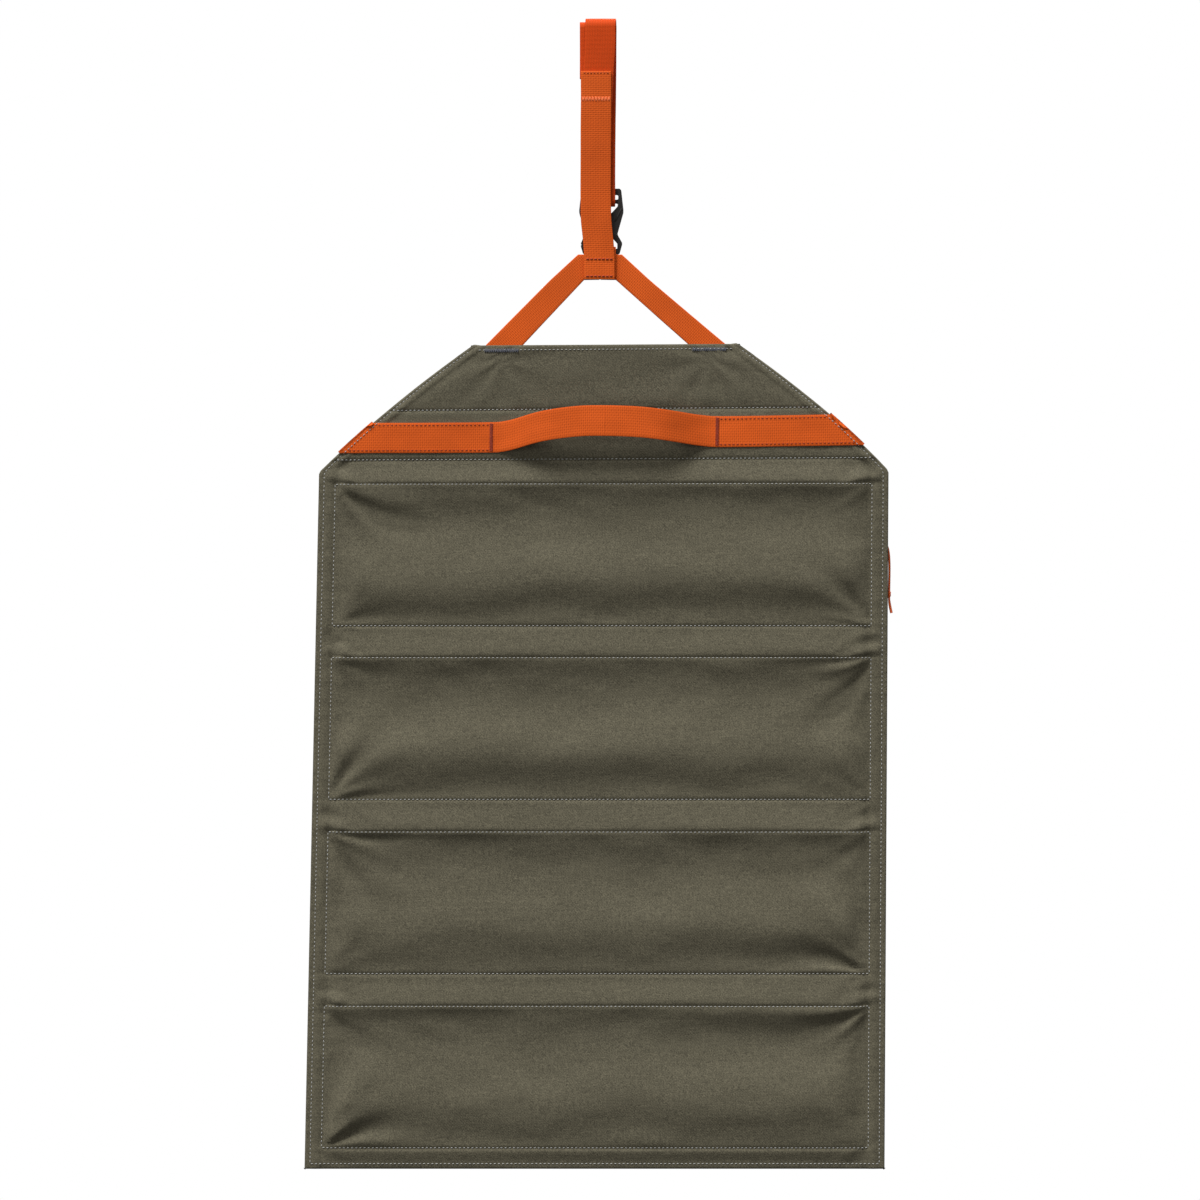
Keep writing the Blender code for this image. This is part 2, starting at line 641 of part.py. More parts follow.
def flap_bodies(flap):
    """The stiff top of the roll, with the yoke's ends sewn between its layers."""
    bottom = FLAP_SEAM + SEAM_SPLIT
    rows = []
    for y, z in arc((FLAP_AXIS_Y, FLAP_AXIS), HEM_RADIUS - COVER_THICKNESS / 2, 0.0, 180.0, 8):
        rows.append([(-FLAP_TOP_HALF_WIDTH, y, z), (FLAP_TOP_HALF_WIDTH, y, z)])
    rows += layer(spread(FLAP_AXIS, bottom, 8)[1:], COVER_Y)
    sheet("flap_cover", rows, COVER_THICKNESS, "cover_cloth", flap)
    top = FLAP_AXIS - SEAT_GAP
    rows = layer(spread(top, bottom, 8), FLAP_LINING_Y, LINING_INSET)
    sheet("flap_lining", rows, LINING_THICKNESS, "lining_cloth", flap)
    outer_slope = (YOKE_END_OUTER - YOKE_TOP_HALF) / (YOKE_TOP + YOKE_DROP)
    inner_slope = (YOKE_END_INNER - YOKE_CROTCH_HALF) / YOKE_DROP
    drop = FLAP_TOP - top
    outer = [(YOKE_END_OUTER + outer_slope * drop, top)]
    inner = [(YOKE_END_INNER + inner_slope * drop, top)]
    outer.append((outer[0][0] + 0.004, top - YOKE_SEWN_LENGTH * 0.35))
    inner.append((inner[0][0] + inner_slope * YOKE_SEWN_LENGTH, top - YOKE_SEWN_LENGTH))
    outer.append((outer[1][0], inner[1][1]))
    for side, name in ((-1.0, "yoke_end_left"), (1.0, "yoke_end_right")):
        outline = [(side * x, z) for x, z in outer + inner[::-1]]
        add_part(name, prism(name, outline, "Y", 0.0, WEBBING_THICKNESS), "webbing", flap)


def handle_point(x):
    """Middle line of the carrying handle: sewn flat at its ends and bowed outwards between."""
    share = max(1.0 - (x / HANDLE_SPAN_HALF) ** 2, 0.0)
    return (x, HANDLE_Y - HANDLE_BOW * share, HANDLE_LEVEL + HANDLE_LIFT * share)


def handle_strip(name, start, end, steps, carrier):
    rows = []
    for x in spread(start, end, steps):
        place = Vector(handle_point(x))
        rise = Vector((0.0, 0.0, WEBBING_WIDTH / 2))
        rows.append([place + rise, place - rise])
    sheet(name, rows, WEBBING_THICKNESS, "webbing", carrier)


def handle_band_bodies(band, handle):
    """The stiffened band below the flap, and the webbing handle sewn across it."""
    top, bottom = FLAP_SEAM - SEAM_SPLIT, HANDLE_SEAM + SEAM_SPLIT
    sheet("handle_band_cover", layer(spread(top, bottom, 5), COVER_Y), COVER_THICKNESS, "cover_cloth", band)
    rows = layer(spread(top, bottom, 5), BAND_LINING_Y, LINING_INSET)
    sheet("handle_band_lining", rows, LINING_THICKNESS, "lining_cloth", band)
    stiff = spread(top - BATTEN_MARGIN, bottom + BATTEN_MARGIN, 2)
    rows = layer(stiff, BATTEN_THICKNESS / 2, BATTEN_INSET)
    sheet("batten", rows, BATTEN_THICKNESS, "batten_plastic", band)
    edge = half_width(HANDLE_LEVEL + WEBBING_WIDTH / 2) - HANDLE_EDGE
    tack = HANDLE_SPAN_HALF + SEAM_SPLIT
    handle_strip("handle_end_left", -edge, -tack, 2, band)
    handle_strip("handle_end_right", tack, edge, 2, band)
    free, grip = HANDLE_SPAN_HALF - SEAM_SPLIT, GRIP_HALF + SEAM_SPLIT
    handle_strip("handle_flex_left", -free, -grip, 6, band)
    handle_strip("handle_flex_right", grip, free, 6, band)
    handle_strip("handle_grip", -GRIP_HALF + SEAM_SPLIT, GRIP_HALF - SEAM_SPLIT, 14, handle)


def panel_bodies(n, panel):
    """One panel: outer cloth, lining and the zipped mesh pocket on its inner face."""
    top = panel_top(n)
    bottom = top - PANEL_HEIGHT
    first = HANDLE_SEAM - SEAM_SPLIT if n == 1 else top - SEAM_SPLIT
    last = BOTTOM if n == PANEL_COUNT else bottom + SEAM_SPLIT
    heights = [first, SHOULDER, top] if n == 1 else [first]
    heights += [top - PANEL_HEIGHT * v for v in (0.05, 0.1, 0.2, 0.32, 0.44, 0.55, 0.65, 0.75, 0.83, 0.9, 0.95)]
    heights += [bottom, last] if n == PANEL_COUNT else [last]
    sheet(f"panel_cover_{n}", quilted(heights, COVER_Y, 14), COVER_THICKNESS, "cover_cloth", panel)
    flat = [first, SHOULDER, last] if n == 1 else [first, last]
    rows = layer(flat, LINING_Y, LINING_INSET)
    sheet(f"panel_lining_{n}", rows, LINING_THICKNESS, "lining_cloth", panel)

    level = zip_level(n)
    seam = ZIP_TAPE_WIDTH / 2 + SEAT_GAP
    upper = pocket_rows(top - 0.0015, level + seam)
    lower = pocket_rows(bottom + 0.0015, level - seam)
    sheet(f"pocket_top_{n}", upper, POCKET_THICKNESS, "lining_cloth", panel)
    sheet(f"pocket_mesh_{n}", lower, POCKET_THICKNESS, "mesh_cloth", panel)

    low, high = POCKET_Y - POCKET_THICKNESS / 2, POCKET_FACE
    tape, coil = ZIP_TAPE_WIDTH / 2, COIL_WIDTH / 2
    profile = [
        (low, level - tape),
        (high, level - tape),
        (high, level - coil),
        (COIL_TOP, level - coil),
        (COIL_TOP, level + coil),
        (high, level + coil),
        (high, level + tape),
        (low, level + tape),
    ]
    mesh = prism("zipper", profile, "X", -zip_reach(n), zip_reach(n))
    zipper = add_part(f"zipper_{n}", mesh, "zip_tape", panel)
    half = zip_reach(n) - 0.0005
    slit = rectangle((-half, level - ZIP_SLIT / 2), (half, level + ZIP_SLIT / 2))
    slit_mesh = prism("zip_slit", slit, "Y", low - 0.001, COIL_TOP + 0.001)
    boolean(zipper, f"zip_slit_{n}", slit_mesh, "DIFFERENCE")


def pocket_rows(sewn, free):
    """Rows of pocket cloth: down on the lining along its sewn edges, and up at the zip."""
    rise = 0.004 if sewn < free else -0.004
    rows = []
    for i, z in enumerate((sewn, sewn + rise, (sewn + free) / 2, free)):
        reach = half_width(z) - POCKET_MARGIN
        y = POCKET_SEWN_Y if i == 0 else POCKET_Y
        row = [(-reach, POCKET_SEWN_Y, z), (-reach + 0.004, y, z)]
        row += [(reach - 0.004, y, z), (reach, POCKET_SEWN_Y, z)]
        rows.append(row)
    return rows


def fold_band(n, panel):
    """The double cloth between two panels, where the roll folds."""
    top = panel_top(n) - PANEL_HEIGHT - SEAM_SPLIT
    bottom = panel_top(n + 1) + SEAM_SPLIT
    rows = quilted(spread(top, bottom, 6), BAND_Y, 10)
    sheet(f"fold_band_{n}", rows, BAND_THICKNESS, "cover_cloth", panel)


def zip_slider(n, slider):
    """A slider: plates under the tape and over the coil, a post between, and a bridge on top."""
    x, level = slider_place(n), zip_level(n)
    floor, ceiling = SLIDER_FLOOR, SLIDER_FLOOR + SLIDER_PLATE
    wide, post = SLIDER_WIDTH / 2, SLIDER_POST / 2
    profile = [
        (floor, level - wide),
        (ceiling, level - wide),
        (ceiling, level - post),
        (SLIDER_ROOF, level - post),
        (SLIDER_ROOF, level - wide),
        (SLIDER_TOP, level - wide),
        (SLIDER_TOP, level + wide),
        (SLIDER_ROOF, level + wide),
        (SLIDER_ROOF, level + post),
        (ceiling, level + post),
        (ceiling, level + wide),
        (floor, level + wide),
    ]
    half = SLIDER_LENGTH / 2
    mesh = prism("zip_slider", profile, "X", x - half, x + half)
    body = add_part(f"zip_slider_{n}", mesh, "zip_metal", slider)
    outer, inner = BRIDGE_HALF_SPAN, BRIDGE_HALF_SPAN - BRIDGE_WALL
    foot, under = SLIDER_TOP - SLIDER_ROOF_PLATE / 2, BRIDGE_TOP - BRIDGE_WALL
    arch = [
        (foot, level - outer),
        (BRIDGE_TOP - BRIDGE_CHAMFER, level - outer),
        (BRIDGE_TOP, level - outer + BRIDGE_CHAMFER),
        (BRIDGE_TOP, level + outer - BRIDGE_CHAMFER),
        (BRIDGE_TOP - BRIDGE_CHAMFER, level + outer),
        (foot, level + outer),
        (foot, level + inner),
        (under, level + inner),
        (under, level - inner),
        (foot, level - inner),
    ]
    width = BRIDGE_WIDTH / 2
    boolean(body, f"bridge_{n}", prism("bridge", arch, "X", x - width, x + width), "UNION")


def zip_pull(n, pull):
    """A loop of cord through the slider's bridge, knotted, with two loose ends."""
    x, level = slider_place(n), zip_level(n)
    if n == 1:
        centre = [(0.0, 0.0), *LEANING_PULL]
    else:
        centre = [(0.0, PULL_LENGTH * t) for t in (0.0, 0.055, 0.11, 0.16, 0.22, 0.30, 0.6, 1.0)]
    knot = centre[-1]
    centre += [(knot[0] + 0.0004, knot[1] + TAIL_LENGTH * 0.5), (knot[0] + 0.0008, knot[1] + TAIL_LENGTH)]
    strands = []
    for side in (1.0, -1.0):
        strand = []
        length = 0.0
        for i, (right, down) in enumerate(centre):
            if i:
                length += math.dist(centre[i], centre[i - 1])
            ahead = centre[min(i + 1, len(centre) - 1)]
            behind = centre[max(i - 1, 0)]
            lean = math.atan2(ahead[0] - behind[0], ahead[1] - behind[1])
            twist = smooth((length - 0.004) / 0.010)
            turn = math.radians(90.0) * twist
            space = CORD_HALF_SPACING + (CORD_DIAMETER * 0.53 - CORD_HALF_SPACING) * twist
            if down > knot[1]:
                space = CORD_DIAMETER * (0.53 + TAIL_SPREAD * (down - knot[1]) / TAIL_LENGTH)
                turn = math.radians(75.0)
            flat = side * space * math.cos(turn)
            y = CORD_Y + (KNOT_Y - CORD_Y) * twist + side * space * math.sin(turn)
            strand.append((x + right + flat * math.cos(lean), y, level - down + flat * math.sin(lean)))
        strands.append(strand[1:])
    bend = CORD_HALF_SPACING
    over = [(x + bend, CORD_Y, level - 0.0012), (x + bend * 0.6, CORD_Y, level)]
    over += [(x - bend * 0.6, CORD_Y, level), (x - bend, CORD_Y, level - 0.0012)]
    path = strands[0][::-1] + over + strands[1]
    body = add_part(f"zip_pull_{n}", cord("zip_pull", path, CORD_DIAMETER), "pull_cord", pull)
    place = (x + knot[0], KNOT_Y, level - knot[1])
    boolean(body, f"knot_{n}", ball("knot", place, KNOT_RADIUS, KNOT_HALF_HEIGHT), "UNION")


def fold_axis(n):
    """Depth and height of the line on which the panel below the nth one folds up."""
    layers_between = PANEL_COUNT - 1 - n
    depth = (FACE_TO_FACE + layers_between * FACE_TO_BACK) / 2
    return depth, panel_top(n + 1) + FOLD_BAND_HEIGHT / 2


clear_scene()
PARTS = collection("parts")
HELPERS = collection("helpers")

strap_bodies()
HOOK = joint("hook_joint", (0.0, HOOK_SETBACK, MIDDLE_BAR_LEVEL))
GATE = joint("gate_joint", (GATE_PIVOT[0], HOOK_SETBACK, JAW_LEVEL + GATE_PIVOT[1]), HOOK)
snap_hook(HOOK, GATE)

FLAP = joint("flap_joint", (0.0, FLAP_AXIS_Y, FLAP_AXIS))
flap_bodies(FLAP)
BAND = joint("handle_band_joint", (0.0, FLAP_INNER_FACE + SEAT_GAP, FLAP_SEAM), FLAP)
HANDLE = joint("handle_joint", (0.0, HANDLE_Y, FLAP_SEAM - HANDLE_AXIS_DROP), BAND)
handle_band_bodies(BAND, HANDLE)

CARRIER = joint("panel_1_joint", (0.0, BAND_INNER_FACE + SEAT_GAP, HANDLE_SEAM), BAND)
for number in range(1, PANEL_COUNT + 1):
    panel_bodies(number, CARRIER)
    SLIDER = joint(f"slider_{number}_joint", (slider_place(number), 0.0, zip_level(number)), CARRIER)
    zip_slider(number, SLIDER)
    PULL = joint(f"pull_{number}_joint", (slider_place(number), CORD_Y, zip_level(number)), SLIDER)
    zip_pull(number, PULL)
    if number < PANEL_COUNT:
        fold_band(number, CARRIER)
        axis_y, axis_z = fold_axis(number)
        CARRIER = joint(f"fold_{number}_joint", (0.0, axis_y, axis_z), CARRIER)
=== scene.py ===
"""A zipped kitchen utensil roll, hanging unrolled: cloth, webbing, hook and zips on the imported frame."""

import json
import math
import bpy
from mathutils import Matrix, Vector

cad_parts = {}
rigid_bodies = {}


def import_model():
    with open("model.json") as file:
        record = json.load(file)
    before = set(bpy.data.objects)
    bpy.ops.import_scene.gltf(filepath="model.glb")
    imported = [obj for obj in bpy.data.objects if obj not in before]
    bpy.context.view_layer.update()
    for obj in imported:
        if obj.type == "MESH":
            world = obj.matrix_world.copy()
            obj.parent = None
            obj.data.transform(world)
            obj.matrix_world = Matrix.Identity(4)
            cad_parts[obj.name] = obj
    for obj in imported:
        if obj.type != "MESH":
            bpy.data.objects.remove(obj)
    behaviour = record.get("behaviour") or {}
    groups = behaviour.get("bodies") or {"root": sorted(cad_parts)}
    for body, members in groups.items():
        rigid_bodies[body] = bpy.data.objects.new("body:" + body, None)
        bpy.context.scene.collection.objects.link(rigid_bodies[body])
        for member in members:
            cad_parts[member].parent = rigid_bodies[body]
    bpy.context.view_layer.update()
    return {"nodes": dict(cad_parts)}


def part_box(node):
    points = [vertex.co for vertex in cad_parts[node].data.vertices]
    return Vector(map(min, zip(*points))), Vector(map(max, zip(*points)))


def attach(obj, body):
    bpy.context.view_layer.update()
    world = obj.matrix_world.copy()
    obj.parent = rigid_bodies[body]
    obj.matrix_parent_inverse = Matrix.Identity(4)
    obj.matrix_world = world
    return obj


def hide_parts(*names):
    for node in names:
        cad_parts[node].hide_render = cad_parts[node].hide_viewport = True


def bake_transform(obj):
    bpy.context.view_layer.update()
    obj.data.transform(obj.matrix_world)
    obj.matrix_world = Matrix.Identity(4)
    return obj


bl_info = {
    "name": "Kitchen Utensil Roll",
    "version": (1, 0, 0),
    "blender": (4, 5, 0),
    "location": "View3D > Sidebar > Utensil Roll",
    "description": "Dresses the hanging utensil roll with cloth, webbing, stitching, zips and pulls",
    "category": "Object",
}

import bmesh
import bpy
import numpy as np
from mathutils import Vector, noise

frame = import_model()

PANELS = 4
SEAM_STITCH = 0.0005  # from a seam to the stitches beside it
FOLD_REACH = 0.008  # length of cloth that bends at a seam without a band
LINING_INSET = 0.0026  # from the cloth's edge to the lining's, inside the turned hem
UPPER_ROWS, PANEL_ROWS, FOLD_ROWS = 0.0030, 0.0026, 0.0020  # between the rows of a cloth's mesh
FLAP_HEM, FOOT_HEM = 0.0095, 0.0100  # hems turned in along the flap's top edge and at the roll's foot
FLAP_GAP, FOOT_GAP = 0.0025, 0.0030  # from those two edges to the lining
ZIP_OPENING = 0.0040  # from a zip's middle to the pocket's cloth and net
ZIP_STITCH = 0.0046  # from a zip's middle to the stitches beside it
ZIP_END = 0.0174  # from the cloth's edge to the tacks at a zip's ends
OUT = (0.0, -1.0, 0.0)
IN = (0.0, 1.0, 0.0)
RIGHT = Vector((1.0, 0.0, 0.0))


def high(node, axis=2):
    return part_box(node)[1][axis]


def low(node, axis=2):
    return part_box(node)[0][axis]


# Seams of the roll, read from the frame
FLAP_TOP = high("flap_cover")
FLAP_SEAM = low("flap_cover")
HANDLE_SEAM = low("handle_band_cover")
PANEL_HEIGHT = high("panel_cover_2") - low("panel_cover_2")
BOTTOM = low("panel_cover_4")
PANEL_TOPS = [high("fold_band_1") + PANEL_HEIGHT] + [low(f"fold_band_{n}") for n in range(1, PANELS)]
BAND_HEIGHT = high("fold_band_1") - low("fold_band_1")
COVER_FACE = low("handle_band_cover", 1)
LINING_FACE = high("panel_lining_1", 1)
BAND_FACE = high("handle_band_lining", 1)
FLAP_FACE = high("flap_lining", 1)
POCKET_FACE = high("pocket_top_1", 1)
COIL_FACE = high("zipper_1", 1)
ZIPS = [(high(f"zipper_{n}") + low(f"zipper_{n}")) / 2 for n in range(1, PANELS + 1)]
SLIDERS = [(high(f"zip_slider_{n}", 0) + low(f"zip_slider_{n}", 0)) / 2 for n in range(1, PANELS + 1)]
BRIDGE_TOP = high("zip_slider_1", 1)


def outline_table():
    """Heights and half widths of the cloth, from the frame's linings and the flap's top edge."""
    inset = high("panel_cover_4", 0) - high("panel_lining_4", 0)
    widest = {}
    names = ["flap_lining", "handle_band_lining"] + [f"panel_lining_{n}" for n in range(1, PANELS + 1)]
    for name in names:
        for vertex in frame["nodes"][name].data.vertices:
            level = round(vertex.co.z, 5)
            widest[level] = max(widest.get(level, 0.0), abs(vertex.co.x) + inset)
    flap = frame["nodes"]["flap_cover"].data.vertices
    widest[FLAP_TOP] = max(vertex.co.x for vertex in flap if vertex.co.z > FLAP_TOP - 0.0003)
    levels = sorted(widest)
    return np.array(levels), np.array([widest[level] for level in levels])


OUTLINE = outline_table()


def half_width(z):
    return float(np.interp(z, *OUTLINE))


def sized(name, about, default):
    """A length that a user may change, in metres."""
    return bpy.props.FloatProperty(name=name, description=about, default=default, subtype="DISTANCE")


def coloured(name, about, default):
    """A colour that a user may change."""
    return bpy.props.FloatVectorProperty(
        name=name, description=about, default=default, subtype="COLOR", min=0, max=1
    )


class RollCloth(bpy.types.PropertyGroup):
    """Sizes and colours of the cloth, its relief, its hems and its stitching."""

    thickness: sized("Thickness", "Thickness of the outer cloth", 0.0009)
    hem: sized("Hem", "Width of the turned edge on the inner side", 0.0090)
    edge_stitch: sized("Edge stitch", "Cloth edge to its topstitching", 0.0045)
    margin: sized("Margin", "Cloth edge to the stitched rectangles", 0.0136)
    belly: sized("Belly", "How far a panel stands out between its seams", 0.0058)
    band: sized("Band", "How far the bands between panels stand out", 0.0046)
    wrinkle: sized("Wrinkle", "Height of the pulled creases at the corners", 0.0023)
    pitch: sized("Stitch pitch", "Distance from one stitch to the next", 0.0034)
    colour: coloured("Cloth colour", "Outer cloth", (0.112, 0.101, 0.068))
    lining: coloured("Lining colour", "Inner cloth", (0.085, 0.080, 0.064))
    thread: coloured("Thread colour", "Grey thread", (0.400, 0.400, 0.380))
    tack: coloured("Tack colour", "Slate thread", (0.110, 0.118, 0.150))


class RollWebbing(bpy.types.PropertyGroup):
    """Sizes and colours of the webbing and the cords."""

    width: sized("Width", "Width of the webbing", 0.025)
    thickness: sized("Thickness", "Thickness of the webbing", 0.0016)
    colour: coloured("Webbing colour", "Ribbed webbing", (0.700, 0.112, 0.0150))
    dark: coloured("Shaded colour", "Between the ribs", (0.360, 0.047, 0.0070))
    thread: coloured("Thread colour", "Red-orange thread", (0.300, 0.032, 0.0100))
    cord: sized("Cord", "Diameter of the pulls' cord", 0.0018)
    cord_colour: coloured("Cord colour", "Braided cord", (0.700, 0.105, 0.010))


class RollHardware(bpy.types.PropertyGroup):
    """Sizes and colours of the hook, the zips and the nets."""

    tooth_pitch: sized("Tooth pitch", "Distance from one zip tooth to the next", 0.0021)
    net_cell: sized("Net cell", "Size of the pocket net's openings", 0.0044)
    net_thread: sized("Net thread", "Thickness of the pocket net's threads", 0.0006)
    black: coloured("Hook colour", "Moulded plastic", (0.014, 0.012, 0.011))
    metal: coloured("Slider colour", "Painted sliders", (0.045, 0.045, 0.047))
    tape: coloured("Tape colour", "Zip tape", (0.050, 0.047, 0.038))


def cloth():
    return bpy.context.scene.roll_cloth


def web():
    return bpy.context.scene.roll_webbing


def hard():
    return bpy.context.scene.roll_hardware


def smooth(t):
    t = min(max(t, 0.0), 1.0)
    return t * t * (3.0 - 2.0 * t)


def spread(start, end, steps):
    return [start + (end - start) * i / steps for i in range(steps + 1)]


def deselect_all():
    bpy.ops.object.select_all(action="DESELECT")


def pick(obj):
    """Makes one object the selected and active one."""
    deselect_all()
    obj.select_set(True)
    bpy.context.view_layer.objects.active = obj


def apply_modifier(obj, name, kind, **values):
    """Adds a modifier with its values and applies it."""
    modifier = obj.modifiers.new(name, kind)
    for key, value in values.items():
        setattr(modifier, key, value)
    pick(obj)
    bpy.ops.object.modifier_apply(modifier=modifier.name)


def shade(obj, angle=40.0):
    pick(obj)
    bpy.ops.object.shade_smooth_by_angle(angle=math.radians(angle))


def dress(obj, look):
    """Gives a piece its finish."""
    obj.data.materials.clear()
    obj.data.materials.append(MATERIALS[look])
    return obj


def finish_on(obj, body, *nodes):
    """Lets a finished piece ride its body, in place of the CAD nodes that it stands for."""
    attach(obj, body)
    if nodes:
        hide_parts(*nodes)
    return obj


def bend_on(obj, bodies, top, bottom, *nodes):
    """Bakes a piece into its mesh where it stands, in place of the CAD nodes that it stands for; the bodies
    and the two heights are not used.
    """
    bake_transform(obj)
    if nodes:
        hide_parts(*nodes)


def measure(points):
    """The distance along a line of points to each of them."""
    lengths = [0.0]
    for a, b in zip(points, points[1:]):
        lengths.append(lengths[-1] + (b - a).length)
    return lengths


def point_along(points, lengths, distance):
    return Vector([float(np.interp(distance, lengths, [point[k] for point in points])) for k in range(3)])


def facing_out(obj, towards):
    """Turns a surface's faces over where they look away from a direction."""
    mesh = obj.data
    mean = Vector((0.0, 0.0, 0.0))
    for polygon in mesh.polygons:
        mean += polygon.normal * polygon.area
    if mean.dot(Vector(towards)) < 0.0:
        mesh.flip_normals()


def thicken(obj, wall):
    """Gives a surface a wall behind its face."""
    apply_modifier(obj, "wall", "SOLIDIFY", thickness=wall, offset=-1.0, use_even_offset=False)


def cloth_finish(obj, towards, wall, look):
    """Makes a surface into cloth whose face looks in a direction."""
    facing_out(obj, towards)
    thicken(obj, wall)
    shade(obj, 60.0)
    return dress(obj, look)


def grid_piece(name, across, along, place, flat=None):
    """A surface from a primitive grid: place(i, j) is where each of its points goes.

    flat(i, j) is the same point on the flat cut, in metres, for the weave's UV map.
    """
    deselect_all()
    bpy.ops.mesh.primitive_grid_add(x_subdivisions=across, y_subdivisions=along, size=1.0)
    obj = bpy.context.active_object
    obj.name = name
    obj.data.name = name
    mesh = obj.data
    stations = []
    for vertex in mesh.vertices:
        stations.append((round((vertex.co.x + 0.5) * across), round((vertex.co.y + 0.5) * along)))
    for vertex, (i, j) in zip(mesh.vertices, stations):
        vertex.co = place(i, j)
    if flat:
        layer = mesh.uv_layers.active.data
        for loop in mesh.loops:
            layer[loop.index].uv = flat(*stations[loop.vertex_index])
    return obj


# Nodes of the procedural materials


class Nodes:
    """A material's node tree, with short calls for the nodes that the finishes share."""

    def __init__(self, name):
        self.material = bpy.data.materials.new(name)
        self.material.use_nodes = True
        self.tree = self.material.node_tree
        self.shader = self.tree.nodes["Principled BSDF"]
        self.coordinates = self.tree.nodes.new("ShaderNodeTexCoord")

    def add(self, kind, inputs=None, **values):
        node = self.tree.nodes.new(kind)
        for key, value in values.items():
            setattr(node, key, value)
        for key, value in (inputs or {}).items():
            self.feed(node.inputs[key], value)
        return node

    def feed(self, socket, value):
        if isinstance(value, bpy.types.NodeSocket):
            self.tree.links.new(value, socket)
        else:
            socket.default_value = value

    def mapped(self, scale, source="Object", turn=(0.0, 0.0, 0.0)):
        node = self.add("ShaderNodeMapping", {"Vector": self.coordinates.outputs[source]})
        node.inputs["Scale"].default_value = scale
        node.inputs["Rotation"].default_value = turn
        return node.outputs["Vector"]

    def noise(self, scale, detail=3.0, source="Object", stretch=(1.0, 1.0, 1.0), roughness=0.55):
        inputs = {"Vector": self.mapped(stretch, source), "Scale": scale, "Detail": detail}
        inputs["Roughness"] = roughness
        return self.add("ShaderNodeTexNoise", inputs).outputs["Fac"]

    def wave(self, period, axis, source="Object", distortion=0.0, turn=(0.0, 0.0, 0.0)):
        vector = self.mapped((1.0, 1.0, 1.0), source, turn)
        # a wave texture makes one band each pi / 10 at a scale of 1
        inputs = {"Vector": vector, "Scale": math.pi / (10.0 * period), "Detail": 1.0}
        inputs["Distortion"] = distortion
        return self.add("ShaderNodeTexWave", inputs, bands_direction=axis).outputs["Fac"]

    def math(self, operation, first, second=0.5):
        return self.add("ShaderNodeMath", {0: first, 1: second}, operation=operation).outputs[0]

    def span(self, value, start, end):
        inputs = {"Value": value, "From Min": start, "From Max": end}
        return self.add("ShaderNodeMapRange", inputs).outputs["Result"]

    def mix(self, share, first, second):
        node = self.add("ShaderNodeMix", data_type="RGBA")
        self.feed(node.inputs["Factor"], share)
        # the sockets named A, B and Result for colours
        self.feed(node.inputs[6], first)
        self.feed(node.inputs[7], second)
        return node.outputs[2]

    def bump(self, height, strength, distance, below=None):
        inputs = {"Height": height, "Strength": strength, "Distance": distance}
        if below:
            inputs["Normal"] = below
        return self.add("ShaderNodeBump", inputs).outputs["Normal"]

    def finish(self, colour, roughness, normal=None, **fixed):
        self.feed(self.shader.inputs["Base Color"], colour)
        self.feed(self.shader.inputs["Roughness"], roughness)
        if normal:
            self.feed(self.shader.inputs["Normal"], normal)
        for key, value in fixed.items():
            self.shader.inputs[key.replace("_", " ")].default_value = value
        return self.material


def opaque(colour, share=1.0):
    return (colour[0] * share, colour[1] * share, colour[2] * share, 1.0)


def woven(name, colour, yarn, tone, worn):
    """Cloth: warp and weft, fine flecks of lighter yarn, broad fading and a soft nap."""
    n = Nodes(name)
    warp = n.wave(yarn, "X")
    weft = n.wave(yarn, "Z")
    twill = n.wave(yarn * 2.0, "X", turn=(0.0, math.radians(45.0), 0.0))
    weave = n.math("MULTIPLY", n.math("MAXIMUM", warp, weft), n.span(twill, -0.6, 1.0))
    fleck = n.noise(1150.0, 2.0, roughness=0.7)
    slub = n.noise(420.0, 2.0, stretch=(0.25, 1.0, 1.0))
    rise = n.noise(420.0, 2.0, stretch=(1.0, 1.0, 0.25))
    cloud = n.noise(9.0, 4.0)
    dark = n.mix(n.span(cloud, 0.3, 0.7), opaque(colour, 1.0 - tone), opaque(colour, 1.0 + tone * 0.4))
    flecked = n.mix(n.span(fleck, 0.50, 0.66), dark, opaque(colour, 1.0 + worn))
    flecked = n.mix(n.span(fleck, 0.50, 0.34), flecked, opaque(colour, 1.0 - worn))
    slubbed = n.mix(n.math("MULTIPLY", n.span(slub, 0.52, 0.70), 0.40), flecked, opaque(colour, 0.66))
    slubbed = n.mix(n.math("MULTIPLY", n.span(rise, 0.54, 0.72), 0.35), slubbed, opaque(colour, 1.45))
    shaded = n.mix(n.math("MULTIPLY", n.span(weave, 0.55, 0.0), 0.45), slubbed, opaque(colour, 0.62))
    normal = n.bump(weave, 0.5, 0.00018)
    normal = n.bump(slub, 0.35, 0.0004, normal)
    normal = n.bump(n.noise(70.0, 3.0), 0.30, 0.0009, normal)
    rough = n.span(fleck, 0.2, 0.9)
    rough = n.math("ADD", n.math("MULTIPLY", rough, 0.12), 0.80)
    return n.finish(shaded, rough, normal, Sheen_Weight=0.03, Sheen_Roughness=0.5, Specular_IOR_Level=0.15)


